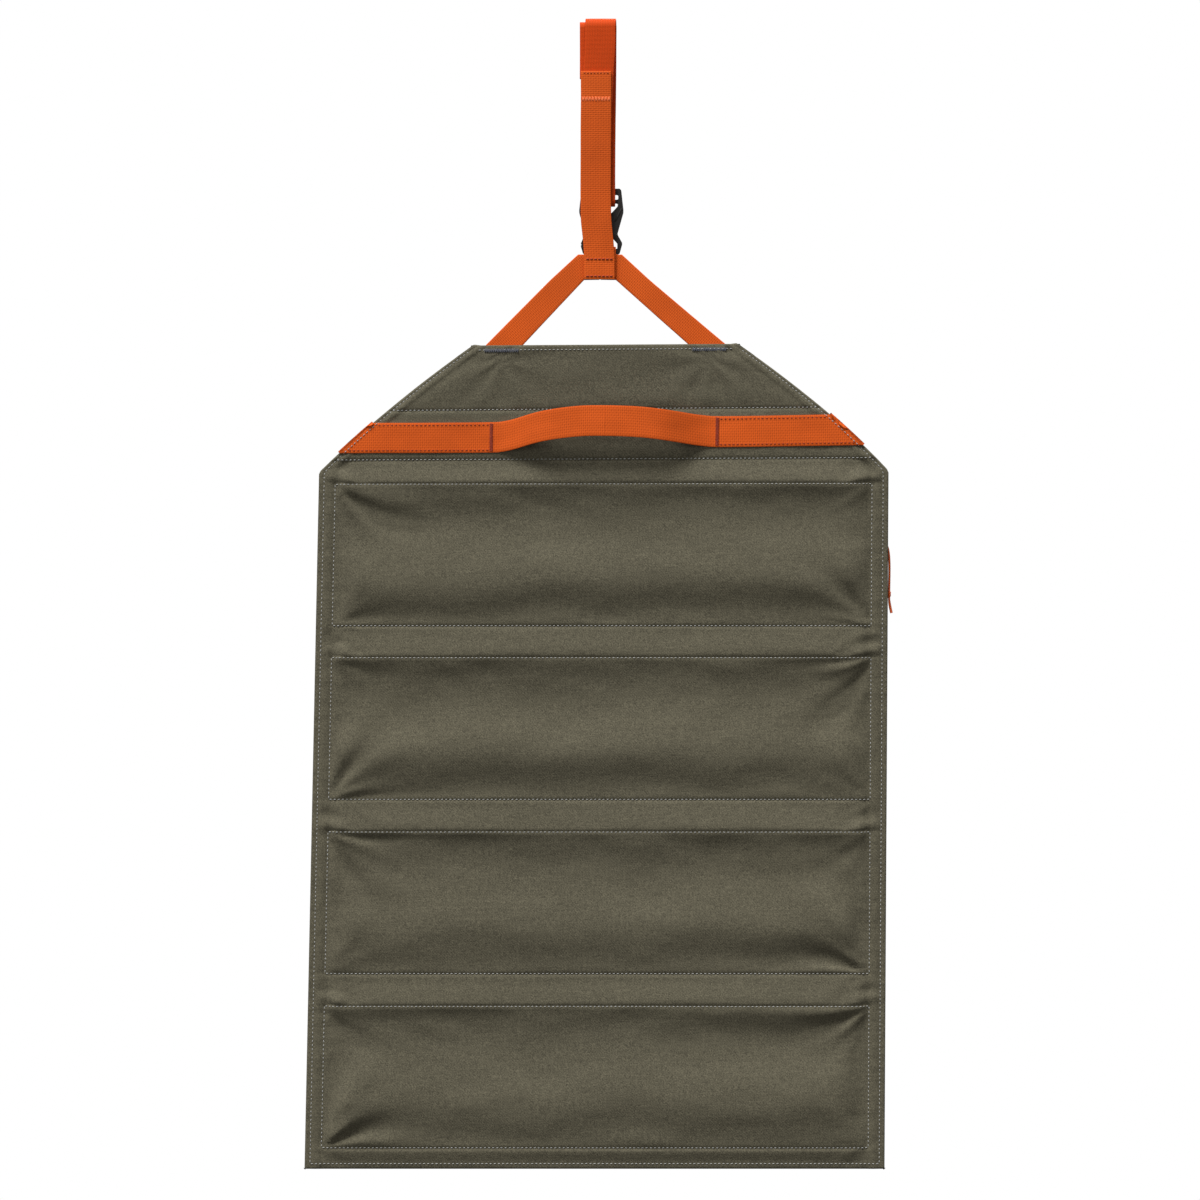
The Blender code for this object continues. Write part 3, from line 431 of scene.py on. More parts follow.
def ribbed(name, colour, dark, rib):
    """Webbing: ribs across its width, cords along it and a diagonal twist, on its own UV map."""
    n = Nodes(name)
    ribs = n.wave(rib, "Y", "UV")
    cords = n.wave(0.0021, "X", "UV")
    twist = n.wave(rib * 1.4, "X", "UV", turn=(0.0, 0.0, math.radians(52.0)))
    weave = n.math("ADD", n.math("MULTIPLY", ribs, 0.65), n.math("MULTIPLY", cords, 0.35))
    weave = n.math("ADD", n.math("MULTIPLY", weave, 0.8), n.math("MULTIPLY", twist, 0.2))
    grain = n.noise(700.0, 2.0)
    cloud = n.noise(22.0, 3.0)
    low_tone = n.mix(n.span(cloud, 0.3, 0.7), opaque(colour, 0.90), opaque(colour, 1.08))
    tone = n.mix(n.math("MULTIPLY", n.span(weave, 0.62, 0.12), 0.75), low_tone, opaque(dark))
    tone = n.mix(n.math("MULTIPLY", n.span(grain, 0.5, 0.8), 0.25), tone, opaque(colour, 1.25))
    normal = n.bump(weave, 0.5, 0.00024)
    normal = n.bump(grain, 0.25, 0.00015, normal)
    return n.finish(tone, 0.66, normal, Sheen_Weight=0.02, Sheen_Roughness=0.4, Specular_IOR_Level=0.07)


def twisted(name, colour, pitch):
    """Thread or braided cord, on Object coordinates."""
    n = Nodes(name)
    lay = n.wave(pitch, "X", turn=(0.0, math.radians(38.0), 0.0))
    back = n.wave(pitch, "X", turn=(0.0, math.radians(-38.0), 0.0))
    braid = n.math("MAXIMUM", lay, back)
    cloud = n.noise(120.0, 2.0)
    tone = n.mix(n.span(braid, 0.9, 0.2), opaque(colour, 1.12), opaque(colour, 0.55))
    tone = n.mix(n.math("MULTIPLY", n.span(cloud, 0.4, 0.7), 0.3), tone, opaque(colour, 0.75))
    return n.finish(tone, 0.62, n.bump(braid, 0.5, 0.0002), Sheen_Weight=0.1, Specular_IOR_Level=0.3)


def moulded(name, colour):
    """Satin moulded plastic with a fine spark-eroded grain and rubbed patches."""
    n = Nodes(name)
    grain = n.noise(1500.0, 2.0)
    rub = n.noise(60.0, 4.0)
    tone = n.mix(n.span(rub, 0.55, 0.8), opaque(colour), opaque(colour, 1.6))
    rough = n.math("ADD", n.math("MULTIPLY", rub, 0.22), 0.36)
    return n.finish(tone, rough, n.bump(grain, 0.30, 0.00006), Specular_IOR_Level=0.35)


def painted(name, colour, metal):
    """Painted or bare metal with small scratches."""
    n = Nodes(name)
    scratch = n.noise(420.0, 3.0, stretch=(0.15, 1.0, 1.0))
    tone = n.mix(n.span(scratch, 0.62, 0.74), opaque(colour), opaque(colour, 3.0))
    rough = n.math("ADD", n.math("MULTIPLY", scratch, 0.25), 0.24)
    return n.finish(tone, rough, n.bump(scratch, 0.2, 0.00005), Metallic=metal)


MATERIALS = {}


def make_materials():
    MATERIALS["cover"] = woven("olive_cloth", cloth().colour, 0.0009, 0.07, 0.50)
    MATERIALS["lining"] = woven("lining_cloth", cloth().lining, 0.0006, 0.08, 0.35)
    MATERIALS["net"] = twisted("pocket_net", (0.050, 0.048, 0.043), 0.0006)
    MATERIALS["webbing"] = ribbed("ribbed_webbing", web().colour, web().dark, 0.00155)
    # a darker, redder copy of the webbing's colour for the plies over and behind the crown: painted shade,
    # for plies that lie in shadow; its finer ribs are the webbing's own weave
    fine = (web().colour[0] * 0.84, web().colour[1] * 0.52, web().colour[2] * 0.40)
    MATERIALS["strap_top"] = ribbed("shaded_fine_webbing", fine, web().dark, 0.00105)
    MATERIALS["grey_thread"] = twisted("grey_thread", cloth().thread, 0.0005)
    MATERIALS["slate_thread"] = twisted("slate_thread", cloth().tack, 0.0005)
    MATERIALS["red_thread"] = twisted("red_thread", web().thread, 0.0005)
    pale = [min(1.0, channel * 1.6 + 0.05) for channel in web().colour]
    MATERIALS["pale_thread"] = twisted("pale_thread", pale, 0.0006)
    MATERIALS["cord"] = twisted("braided_cord", web().cord_colour, 0.0012)
    MATERIALS["hook"] = moulded("hook_plastic", hard().black)
    MATERIALS["slider"] = painted("slider_paint", hard().metal, 0.35)
    MATERIALS["pin"] = painted("pin_steel", (0.45, 0.45, 0.44), 1.0)
    # the stiff sheet is near-black as painted shade: where it shows through the cloth it stands in for a
    # shadowed crease
    MATERIALS["batten"] = moulded("batten_painted_shade", (0.030, 0.030, 0.028))
    MATERIALS["tape"] = woven("zip_tape", hard().tape, 0.0005, 0.06, 0.3)
    MATERIALS["coil"] = moulded("zip_coil", (0.022, 0.021, 0.019))


# The outer cloth's relief


def panel_at(z):
    """The panel that a height lies in, with its share of the way down it; or the band below it."""
    for n, top in enumerate(PANEL_TOPS, 1):
        if z <= top and z >= top - PANEL_HEIGHT:
            return n, (top - z) / PANEL_HEIGHT
    return 0, 0.0


def bell(distance, width):
    return math.exp(-((distance / width) ** 2))


def profile(z):
    """How far the middle of the cloth stands out at a height: most at each top seam and low in each belly."""
    c = cloth()
    n, v = panel_at(z)
    valley, foot = 0.08 * c.band, 0.42 * c.band
    if n and v < 0.25:
        return valley + (c.band - valley) * (1.0 - v / 0.25) ** 2
    if n and v < 0.68:
        return valley + (c.belly - valley) * smooth((v - 0.25) / 0.43)
    if n:
        return c.belly + (foot - c.belly) * smooth((v - 0.68) / 0.27)
    if z > PANEL_TOPS[0]:
        return c.band * (0.15 + 0.85 * smooth((HANDLE_SEAM - z) / (HANDLE_SEAM - PANEL_TOPS[0])))
    for top in PANEL_TOPS[1:]:
        if z >= top:
            return foot + (c.band - foot) * smooth((top + BAND_HEIGHT - z) / BAND_HEIGHT)
    return foot * smooth((z - BOTTOM - 0.004) / 0.012)


def corner_creases(x, z, n, reach):
    """Creases that fan out from the corners of a stitched rectangle."""
    total = 0.0
    top = PANEL_TOPS[n - 1]
    side = 1.0 if x > 0.0 else -1.0
    dx = max(reach - abs(x), 0.0)
    for k, corner in enumerate((top, top - PANEL_HEIGHT)):
        dz = abs(z - corner)
        distance = math.hypot(dx, dz)
        angle = math.atan2(dz, dx)
        phase = 1.7 * n + 2.3 * k + 1.1 * side
        fan = math.sin(angle * 6.5 + phase) + 0.6 * math.sin(angle * 12.0 + phase * 2.1 + distance * 45.0)
        near = (distance / 0.022) * math.exp(1.0 - distance / 0.022)
        total += fan * near * (0.7 + 0.5 * math.sin(2.9 * n + 4.1 * k + 1.7 * side))
    return total


def ripples(x, z, seed):
    """Slack across the middle of a panel."""
    slow = noise.noise(Vector((x * 7.0, z * 26.0, seed * 3.1)))
    quick = noise.noise(Vector((x * 24.0, z * 55.0, seed * 5.7)))
    fine = noise.noise(Vector((x * 90.0, z * 120.0, seed * 1.9)))
    return slow * 1.0 + quick * 0.42 + fine * 0.10


def stand_out(x, z):
    """How far the outer cloth stands out of its flat face."""
    c = cloth()
    reach = half_width(z)
    side = reach - c.margin - abs(x)
    edge = reach - abs(x)
    n, v = panel_at(z)
    total = -0.00045 * bell(edge - c.edge_stitch, 0.0011)
    hem = 0.0009 * bell(edge - (c.margin + c.edge_stitch) / 2, 0.0034)
    broad = 1.0 + 0.35 * noise.noise(Vector((x * 6.0, z * 9.0, 2.7)))
    pucker = 0.0005 * noise.noise(Vector((x * 20.0, z * 170.0, 6.1))) * bell(side, 0.012)
    if n:
        seam = min(v, 1.0 - v) * PANEL_HEIGHT
        fade = smooth(seam / 0.007) * smooth(side / 0.006)
        drift = 0.007 * noise.noise(Vector((x * 15.0, n * 2.3, 1.0))) * smooth(seam / 0.014)
        total += profile(z + drift) * broad * smooth(side / (0.007 + 0.016 * smooth(seam / 0.03))) + pucker
        scallop = noise.noise(Vector((x * 34.0 + z * 30.0, z * 45.0, n * 1.3)))
        total += c.wrinkle * 0.30 * scallop * bell(v - 0.12, 0.13) * fade
        total += c.wrinkle * 0.62 * corner_creases(x, z, n, reach - c.margin) * fade
        total += c.wrinkle * 0.55 * ripples(x, z, n) * fade
        total -= 0.0006 * bell(side, 0.0012) + 0.0007 * bell(seam, 0.0011) * smooth(side / 0.002)
        return total + hem * (1.0 - smooth(side / 0.004))
    in_bands = z < HANDLE_SEAM
    total += hem * (0.0 if in_bands and side > 0.0 else 1.0)
    if in_bands:
        ends = [HANDLE_SEAM, BOTTOM, *PANEL_TOPS, *[top - PANEL_HEIGHT for top in PANEL_TOPS]]
        seam = min(abs(z - end) for end in ends)
        stray = noise.noise(Vector((x * 30.0, z * 30.0, 4.4)))
        curl = math.sin(220.0 * side + 260.0 * (z - BOTTOM) + 3.0 * stray)
        total += profile(z) * broad * smooth(side / 0.010) + pucker
        total += 0.0004 * curl * bell(side - 0.012, 0.018) * smooth(seam / 0.006)
        foot = min((z - top for top in PANEL_TOPS if z >= top), default=1.0)
        away = math.hypot(side * 0.6, foot)
        arch = 0.0012 * bell(away - 0.006, 0.004) - 0.0010 * bell(away - 0.0135, 0.0035)
        total += arch * smooth(seam / 0.004) * smooth((edge - 0.003) / 0.010)
        total += 0.0006 * ripples(x, z, 9.0) * smooth(seam / 0.006)
        return total - 0.0007 * bell(seam, 0.0011) * smooth(side / 0.002)
    seam = min(abs(z - FLAP_SEAM), abs(z - HANDLE_SEAM))
    pull = 0.0
    for side_sign in (-1.0, 1.0):
        dx, dz = x - side_sign * 0.085, z - (FLAP_TOP - 0.012)
        away = math.hypot(dx, dz)
        near = (away / 0.02) * math.exp(1.0 - away / 0.02)
        pull += math.sin(math.atan2(dz, dx) * 8.0 + 2.0 * side_sign) * near
    slack = 0.0014 * smooth((edge - 0.006) / 0.02)
    total += slack * (0.8 + 0.7 * ripples(x, z, 4.0)) * smooth(seam / 0.010)
    total += 0.00042 * pull * smooth(edge / 0.01) * smooth(seam / 0.01)
    total += 0.0009 * bell(z - HANDLE_SEAM, 0.010) + 0.0005 * bell(z - FLAP_SEAM, 0.006)
    return total - 0.0007 * bell(seam, 0.0011)


def cover_y(x, z):
    return COVER_FACE - max(stand_out(x, z), -0.0002)


def inner_hem(z):
    """Depth of the turned hem's face on the inner side, over whatever lining lies there."""
    levels = (BOTTOM, HANDLE_SEAM - 0.004, HANDLE_SEAM + 0.004, FLAP_SEAM - 0.004, FLAP_SEAM + 0.004)
    faces = (LINING_FACE, LINING_FACE, BAND_FACE, BAND_FACE, FLAP_FACE)
    return float(np.interp(z, levels, faces)) + 0.0010


def columns(z):
    """Places across the cloth: its inner hem, its turned edge, and its outer face, from left to right."""
    c = cloth()
    reach = half_width(z)
    turn = (inner_hem(z) - COVER_FACE) / 2
    marks = [c.hem, turn]
    wraps = [1.0, 1.0]
    for angle in (150.0, 120.0, 90.0, 60.0, 30.0):
        marks.append(turn - turn * math.sin(math.radians(angle)))
        wraps.append(0.5 - 0.5 * math.cos(math.radians(angle)))
    for mark in (turn, 0.0034, c.edge_stitch, 0.0061, 0.0092, 0.0122, c.margin, 0.0150, 0.0178, 0.0215):
        marks.append(mark)
        wraps.append(0.0)
    left = [-(reach - mark) for mark in marks]
    inner = reach - marks[-1]
    middle = spread(-inner, inner, 130)[1:-1]
    xs = left + middle + [-x for x in reversed(left)]
    return xs, wraps + [0.0] * len(middle) + list(reversed(wraps))


def clustered(start, end, step):
    """Heights from a seam to the next, close together beside both of them."""
    near = [0.0, 0.0009, 0.0019, 0.0034, 0.0055]
    length = abs(end - start)
    sign = 1.0 if end > start else -1.0
    steps = max(2, round((length - 2 * near[-1]) / step))
    middle = spread(near[-1], length - near[-1], steps)[1:-1]
    return [start + sign * d for d in near + middle + [length - d for d in reversed(near)]]


def turned_rows(edge, width, turn, sign):
    """Heights and wraps of a hem turned to the inner side along a bottom (1) or top (-1) edge."""
    rows = [(edge + sign * width, 1.0), (edge + sign * turn, 1.0)]
    for angle in (150.0, 120.0, 90.0, 60.0, 30.0):
        lift = turn - turn * math.sin(math.radians(angle))
        rows.append((edge + sign * lift, 0.5 - 0.5 * math.cos(math.radians(angle))))
    return rows


def cloth_piece(name, rows, turned_bottom=0.0, turned_top=0.0):
    """A strip of the outer cloth between two seams, with its edges turned to the inner side.

    rows run upwards. A turned bottom edge lies on the lining, and a turned top edge behind the
    cloth itself, in front of whatever is sewn between the layers.
    """
    levels = [(z, 0.0) for z in rows]
    top_face = COVER_FACE + 0.0012
    if turned_bottom:
        turn = (inner_hem(rows[0]) - COVER_FACE) / 2
        start = turned_rows(rows[0], turned_bottom, turn, 1.0)
        levels = start + [(z, wrap) for z, wrap in levels if z > rows[0] + turn]
    if turned_top:
        turn = 0.0010
        end = turned_rows(rows[-1], turned_top, turn, -1.0)
        levels = [(z, wrap) for z, wrap in levels if z < rows[-1] - turn] + list(reversed(end))
    table = [columns(z) for z, wrap in levels]
    across = len(table[0][0]) - 1

    def place(i, j):
        z, wrap_z = levels[j]
        x, wrap_x = table[j][0][i], table[j][1][i]
        outer = cover_y(x, z)
        if turned_top and wrap_z > wrap_x:
            return (x, outer + (top_face - outer) * wrap_z, z)
        return (x, outer + (inner_hem(z) - outer) * max(wrap_x, wrap_z), z)

    obj = grid_piece(name, across, len(levels) - 1, place)
    return cloth_finish(obj, OUT, cloth().thickness, "cover")


# Inner cloth: linings, pocket tops, pocket nets and zip tapes


def inner_piece(name, levels, reach, depth, wall=0.0005, steps=60):
    """A piece of inner cloth through some heights: reach(z) is half its width, depth(x, z) its inner face."""

    def place(i, j):
        z = levels[j]
        side = reach(z)
        x = -side + 2.0 * side * i / steps
        return (x, depth(x, z), z)

    obj = grid_piece(name, steps, len(levels) - 1, place)
    return cloth_finish(obj, IN, wall, "lining")


def lining_depth(face, seed):
    def depth(x, z):
        return face - 0.0002 + 0.0002 * ripples(x, z, seed)

    return depth


def inside_hem(z):
    return half_width(z) - LINING_INSET


def pocket_reach(z):
    return half_width(z) - cloth().margin + 0.0040


def pocket_depth(n, sewn, free):
    """Inner face of a pocket's cloth, low along its sewn edges and slack between."""

    def depth(x, z):
        across = pocket_reach(z) - abs(x)
        down = abs(z - sewn)
        length = abs(free - sewn)
        rise = smooth(across / 0.012) * smooth(down / 0.010)
        near_zip = smooth(abs(z - free) / (0.3 * length))
        slack = 0.0007 + 0.0006 * ripples(x, z, 20.0 + n) + 0.0002 * ripples(x * 3.0, z * 2.0, 30.0 + n)
        seated = LINING_FACE + 0.0007
        lifted = POCKET_FACE + 0.0005
        return seated + (lifted - seated) * rise + max(slack, 0.0) * rise * near_zip

    return depth


def pocket_top(n):
    top = PANEL_TOPS[n - 1]
    edge = ZIPS[n - 1] + ZIP_OPENING
    levels = clustered(top - 0.0002, edge, 0.0032)
    depth = pocket_depth(n, top, edge)
    obj = inner_piece(f"pocket_cloth_{n}", levels, pocket_reach, depth, 0.0004, 110)
    2 * pocket_reach((top + edge) / 2)
    finish_on(obj, f"panel_{n}", f"pocket_top_{n}")


def pocket_net(n):
    """The net below the zip: threads round the openings of a knitted net."""
    bottom = PANEL_TOPS[n - 1] - PANEL_HEIGHT
    edge = ZIPS[n - 1] - ZIP_OPENING
    cell = hard().net_cell
    depth = pocket_depth(n, bottom, edge)
    height = edge - bottom - 0.0004
    rows = round(height / (cell * 0.86))
    widest = 2.0 * pocket_reach(bottom)
    columns_across = 2 * round(widest / (2.0 * cell * 0.5))

    def place(i, j):
        z = bottom + 0.0002 + height * j / rows
        side = pocket_reach(z)
        x = -side + 2.0 * side * i / columns_across
        inside = 0 < j < rows
        zigzag = (cell * 0.20 if (i + j) % 2 else -cell * 0.20) if inside else 0.0
        return (x, depth(x, z) - 0.0003, z + zigzag)

    obj = grid_piece(f"pocket_net_{n}", columns_across, rows, place)
    facing_out(obj, IN)
    bm = bmesh.new()
    bm.from_mesh(obj.data)
    bm.verts.index_update()
    uprights = []
    for edge_item in bm.edges:
        a, b = (vertex.index for vertex in edge_item.verts)
        row_a, row_b = a // (columns_across + 1), b // (columns_across + 1)
        column = min(a % (columns_across + 1), b % (columns_across + 1))
        if row_a != row_b and 0 < column < columns_across and (column + min(row_a, row_b)) % 2:
            uprights.append(edge_item)
    bmesh.ops.dissolve_edges(bm, edges=uprights, use_verts=False)
    bm.to_mesh(obj.data)
    bm.free()
    apply_modifier(
        obj, "threads", "WIREFRAME", thickness=hard().net_thread, use_even_offset=False, use_boundary=True
    )
    shade(obj, 80.0)
    dress(obj, "net")
    finish_on(obj, f"panel_{n}", f"pocket_mesh_{n}")


def tape_binding(n, side):
    """One half of the zip tape, with its thick edge beside the teeth."""
    level = ZIPS[n - 1]
    half = (high(f"zipper_{n}", 0) - low(f"zipper_{n}", 0)) / 2
    section = [(0.0006, 0.0), (0.0011, 0.0002), (0.0018, 0.0002), (0.0022, 0.0), (0.0036, 0.0), (0.0052, 0.0)]
    steps = 90

    def place(i, j):
        off, rise = section[j]
        x = -half + 2.0 * half * i / steps
        wave = 0.00012 * math.sin(x * 95.0 + n)
        return (x, POCKET_FACE + rise + wave, level + side * off)

    word = "upper" if side > 0 else "lower"
    obj = grid_piece(f"zip_tape_{word}_{n}", steps, len(section) - 1, place)
    cloth_finish(obj, IN, 0.0004, "tape")
    finish_on(obj, f"panel_{n}", f"zipper_{n}")


# Many small bodies from one template: stitches, tacks and zip teeth


class Thread:
    """Collects short rounded bodies and builds them as one mesh."""

    def __init__(self):
        self.places = []

    def bead(self, centre, along, outward, half, radius, flat=0.8):
        """One body: centre, direction of its length, direction out of the cloth, and its half sizes."""
        along = Vector(along).normalized()
        out = Vector(outward)
        out = (out - along * out.dot(along)).normalized()
        side = along.cross(out)
        self.places.append((Vector(centre), along * half, side * radius, out * radius * flat))

    def run(self, points, outward, share=0.60, radius=0.00040, pitch=None):
        """Lockstitches along a polyline."""
        lengths = measure(points)
        count = max(1, round(lengths[-1] / (pitch or cloth().pitch)))
        step = lengths[-1] / count
        for i in range(count):
            middle = (i + 0.5) * step
            half = step * share / 2
            a = point_along(points, lengths, middle - half)
            b = point_along(points, lengths, middle + half)
            lean = Vector(outward).cross(b - a) * (0.05 * math.sin(i * 2.3) + 0.05)
            centre = (a + b) / 2 + Vector(outward) * radius * 0.35
            self.bead(centre, b - a + lean, outward, half, radius)

    def tack(self, start, end, width, outward, radius=0.00026, gap=0.00062):
        """A bar tack: close stitches across a line."""
        start, end = Vector(start), Vector(end)
        along = end - start
        across = along.cross(Vector(outward)).normalized()
        count = max(2, round(along.length / gap))
        for i in range(count + 1):
            centre = start + along * i / count + Vector(outward) * radius * 0.5
            lean = along.normalized() * (0.16 if i % 2 else -0.16)
            self.bead(centre, across + lean, outward, width / 2, radius)

    def build(self, name, look, slot):
        deselect_all()
        bpy.ops.mesh.primitive_uv_sphere_add(segments=6, ring_count=4, radius=1.0)
        obj = bpy.context.active_object
        obj.name = name
        shape = obj.data
        points = np.array([list(vertex.co) for vertex in shape.vertices])
        faces = [list(polygon.vertices) for polygon in shape.polygons]
        vertices, polygons = [], []
        for k, (centre, along, side, out) in enumerate(self.places):
            turn = np.array([list(side), list(out), list(along)])
            vertices.append(points @ turn + np.array(list(centre)))
            base = k * len(points)
            polygons += [[base + index for index in face] for face in faces]
        mesh = bpy.data.meshes.new(name)
        mesh.from_pydata(np.concatenate(vertices).tolist(), [], polygons)
        mesh.update()
        obj.data = mesh
        bpy.data.meshes.remove(shape)
        shade(obj, 80.0)
        return dress(obj, look)


def cover_line(reach, z):
    """Points across the outer cloth at a height."""
    steps = max(2, round(2.0 * reach / 0.003))
    return [Vector((x, cover_y(x, z), z)) for x in spread(-reach, reach, steps)]


def inner_line(reach, z, y):
    return [Vector((x, y, z)) for x in spread(-reach, reach, 2)]


def edge_line(side, z0, z1, inset, face=None):
    """Points along a side edge, on the outer cloth, or on an inner face."""
    steps = max(2, round(abs(z1 - z0) / 0.003))
    points = []
    for z in spread(z0, z1, steps):
        x = side * (half_width(z) - inset)
        points.append(Vector((x, face(z) if face else cover_y(x, z), z)))
    return points


def hem_face(z):
    return inner_hem(z) + 0.0001


def topstitch(outer, inner, side, top, bottom):
    """Stitches along a side edge, through the cloth and its turned hem."""
    outer.run(edge_line(side, top, bottom, cloth().edge_stitch), OUT)
    inner.run(edge_line(side, top, bottom, cloth().edge_stitch, hem_face), IN)


def panel_stitches(n):
    """The stitched rectangle of a panel, its edge stitching, and both on the inner side."""
    top = PANEL_TOPS[n - 1] - SEAM_STITCH
    bottom = PANEL_TOPS[n - 1] - PANEL_HEIGHT + SEAM_STITCH
    margin = cloth().margin
    outer, inner = Thread(), Thread()
    for z in (top, bottom):
        reach = half_width(z) - margin
        outer.run(cover_line(reach, z), OUT)
        inner.run(inner_line(reach, z, LINING_FACE + 0.0009), IN)
    low_end = BOTTOM + cloth().edge_stitch if n == PANELS else bottom
    for side in (-1.0, 1.0):
        outer.run(edge_line(side, top, bottom, margin), OUT)
        inner.run(edge_line(side, top, bottom, margin - 0.0008, lambda z: POCKET_FACE - 0.0002), IN)
        topstitch(outer, inner, side, top, low_end)
    if n == PANELS:
        reach = half_width(BOTTOM) - cloth().edge_stitch
        outer.run(cover_line(reach, low_end), OUT)
        inner.run(inner_line(reach, low_end, hem_face(BOTTOM)), IN)
    zip_level = ZIPS[n - 1]
    for z in (zip_level - ZIP_STITCH, zip_level + ZIP_STITCH):
        inner.run(inner_line(half_width(z) - 0.018, z, POCKET_FACE + 0.0006), IN, pitch=0.0028)
    for side in (-1.0, 1.0):
        x = side * (half_width(zip_level) - ZIP_END)
        inner.tack((x, COIL_FACE, zip_level - 0.004), (x, COIL_FACE, zip_level + 0.004), 0.0024, IN)
    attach(outer.build(f"outer_stitches_{n}", "grey_thread", "cover_cloth"), f"panel_{n}")
    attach(inner.build(f"inner_stitches_{n}", "grey_thread", "lining_cloth"), f"panel_{n}")


def fold_stitches(n):
    """Edge stitching of the band between two panels."""
    top = PANEL_TOPS[n - 1] - PANEL_HEIGHT
    thread = Thread()
    for side in (-1.0, 1.0):
        topstitch(thread, thread, side, top, PANEL_TOPS[n])
    obj = thread.build(f"fold_stitches_{n}", "grey_thread", "cover_cloth")
    bend_on(obj, (f"panel_{n}", f"panel_{n + 1}"), top, PANEL_TOPS[n])


def yoke_tacks():
    """Bar tacks that hold the ends of the yoke in the flap, seen on both of its faces."""
    tacks = Thread()
    z = FLAP_TOP - 0.0045
    for side in (-1.0, 1.0):
        row = [Vector((side * x, cover_y(side * x, z) - 0.0004, z)) for x in (0.0985, 0.0715)]
        tacks.tack(*row, 0.0036, OUT, 0.00038, 0.0009)
        tacks.tack(*[(point.x, FLAP_FACE + 0.0011, z) for point in row], 0.0032, IN, 0.00034, 0.0008)
    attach(tacks.build("flap_tacks", "slate_thread", "cover_cloth"), "flap")


def upper_stitches():
    """Stitching of the flap, of the band that carries the handle, and of the shoulder below it."""
    inset = cloth().edge_stitch
    flap, band, shoulder = Thread(), Thread(), Thread()
    for side in (-1.0, 1.0):
        topstitch(flap, flap, side, FLAP_TOP - 0.005, FLAP_SEAM)
        topstitch(band, band, side, FLAP_SEAM, HANDLE_SEAM)
        topstitch(shoulder, shoulder, side, HANDLE_SEAM, PANEL_TOPS[0])
    flap.run(cover_line(half_width(FLAP_TOP) - inset, FLAP_TOP - 0.0040), OUT)
    for thread, seam, face in ((flap, FLAP_SEAM, FLAP_FACE), (band, HANDLE_SEAM, BAND_FACE)):
        reach = half_width(seam) - inset
        thread.run(cover_line(reach, seam + SEAM_STITCH), OUT)
        thread.run(inner_line(reach, seam + SEAM_STITCH, face + 0.0001), IN)
    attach(flap.build("flap_stitches", "grey_thread", "cover_cloth"), "flap")
    yoke_tacks()
    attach(band.build("handle_band_stitches", "grey_thread", "cover_cloth"), "handle_band")
    obj = shoulder.build("shoulder_stitches", "grey_thread", "cover_cloth")
    bend_on(obj, ("handle_band", "panel_1"), HANDLE_SEAM, HANDLE_SEAM - FOLD_REACH)


# Webbing

WEBBING_CELLS = 10  # of the mesh, across the width
HEM_PLY = 0.0254  # length of the strap's hem at its upper end
CROWN_DROP = 0.005  # centre of the strap's turn over the crown, below the frame's origin
HEM_X, PATCH_X = -0.0032, -0.0005  # how the front ply hangs: its hem and its sewn patch, sideways
HANDLE_TACK = 0.0925  # from the handle's middle out to the tacks that end its sewn parts
HANDLE_SEWN, HANDLE_FREE = 0.090, 0.062  # where it leaves the band, and where it hangs free


def fair(points, per=6):
    """A smooth line through some points."""
    points = [Vector(point) for point in points]
    ends = [points[0] * 2 - points[1], *points, points[-1] * 2 - points[-2]]
    line = []
    for a, b, c, d in zip(ends, ends[1:], ends[2:], ends[3:]):
        for t in spread(0.0, 1.0, per)[:-1]:
            first = -a + 3 * b - 3 * c + d
            second = 2 * a - 5 * b + 4 * c - d
            line.append(0.5 * (2 * b + (c - a) * t + second * t * t + first * t * t * t))
    return [*line, points[-1]]


def spaced(line, step):
    """The same line with points at even distances, and its length."""
    lengths = measure(line)
    count = max(3, round(lengths[-1] / step))
    return [point_along(line, lengths, distance) for distance in spread(0.0, lengths[-1], count)], lengths[-1]


def round_edges(obj, keep=None):
    """Rounds the edges of a strip's wall, apart from those that keep(point) holds as they are."""
    bm = bmesh.new()
    bm.from_mesh(obj.data)
    weight = bm.edges.layers.float.get("bevel_weight_edge") or bm.edges.layers.float.new("bevel_weight_edge")
    for edge in bm.edges:
        sharp = len(edge.link_faces) == 2 and edge.calc_face_angle() > 1.0
        held = keep is not None and all(keep(vertex.co) for vertex in edge.verts)
        edge[weight] = 1.0 if sharp and not held else 0.0
    bm.to_mesh(obj.data)
    bm.free()
    apply_modifier(obj, "edge", "BEVEL", width=0.00042, segments=2, limit_method="WEIGHT")


def webbing_strip(name, line, sides, look, wall, sway=0.0, uneven=0.0, reach=None):
    """A strip of webbing along a middle line, with woven edges; sides are the directions of its width.

    sway is how far it waves out of its face, uneven how much its width varies, and reach(z), where it
    is given, cuts it off at the cloth's slanting edge.
    """
    half = web().width / 2
    cells = WEBBING_CELLS
    steps = len(line) - 1
    lengths = measure(line)

    def place(i, j):
        u = -1.0 + 2.0 * i / cells
        edge = half * (1.0 + uneven * noise.noise(Vector((lengths[j] * 45.0, u * 0.6, 3.0))))
        ahead = (line[min(j + 1, steps)] - line[max(j - 1, 0)]).normalized()
        out = ahead.cross(sides[j]).normalized()
        lift = sway * noise.noise(Vector((lengths[j] * 30.0, u * 1.4, 7.0)))
        point = line[j] + sides[j] * (u * edge) + out * (wall / 2 + lift)
        if reach:
            limit = reach(point.z)
            point.x = min(max(point.x, -limit), limit)
        return point

    def flat(i, j):
        return ((-1.0 + 2.0 * i / cells) * half, lengths[j])

    obj = grid_piece(name, cells, steps, place, flat)
    middle = steps // 2
    ahead = line[middle + 1] - line[middle]
    if obj.data.polygons[middle * cells].normal.dot(ahead.cross(sides[middle])) < 0.0:
        obj.data.flip_normals()
    thicken(obj, wall)
    round_edges(obj, lambda point: abs(point.x) < 0.0001 and reach is not None)
    shade(obj, 50.0)
    return dress(obj, look)


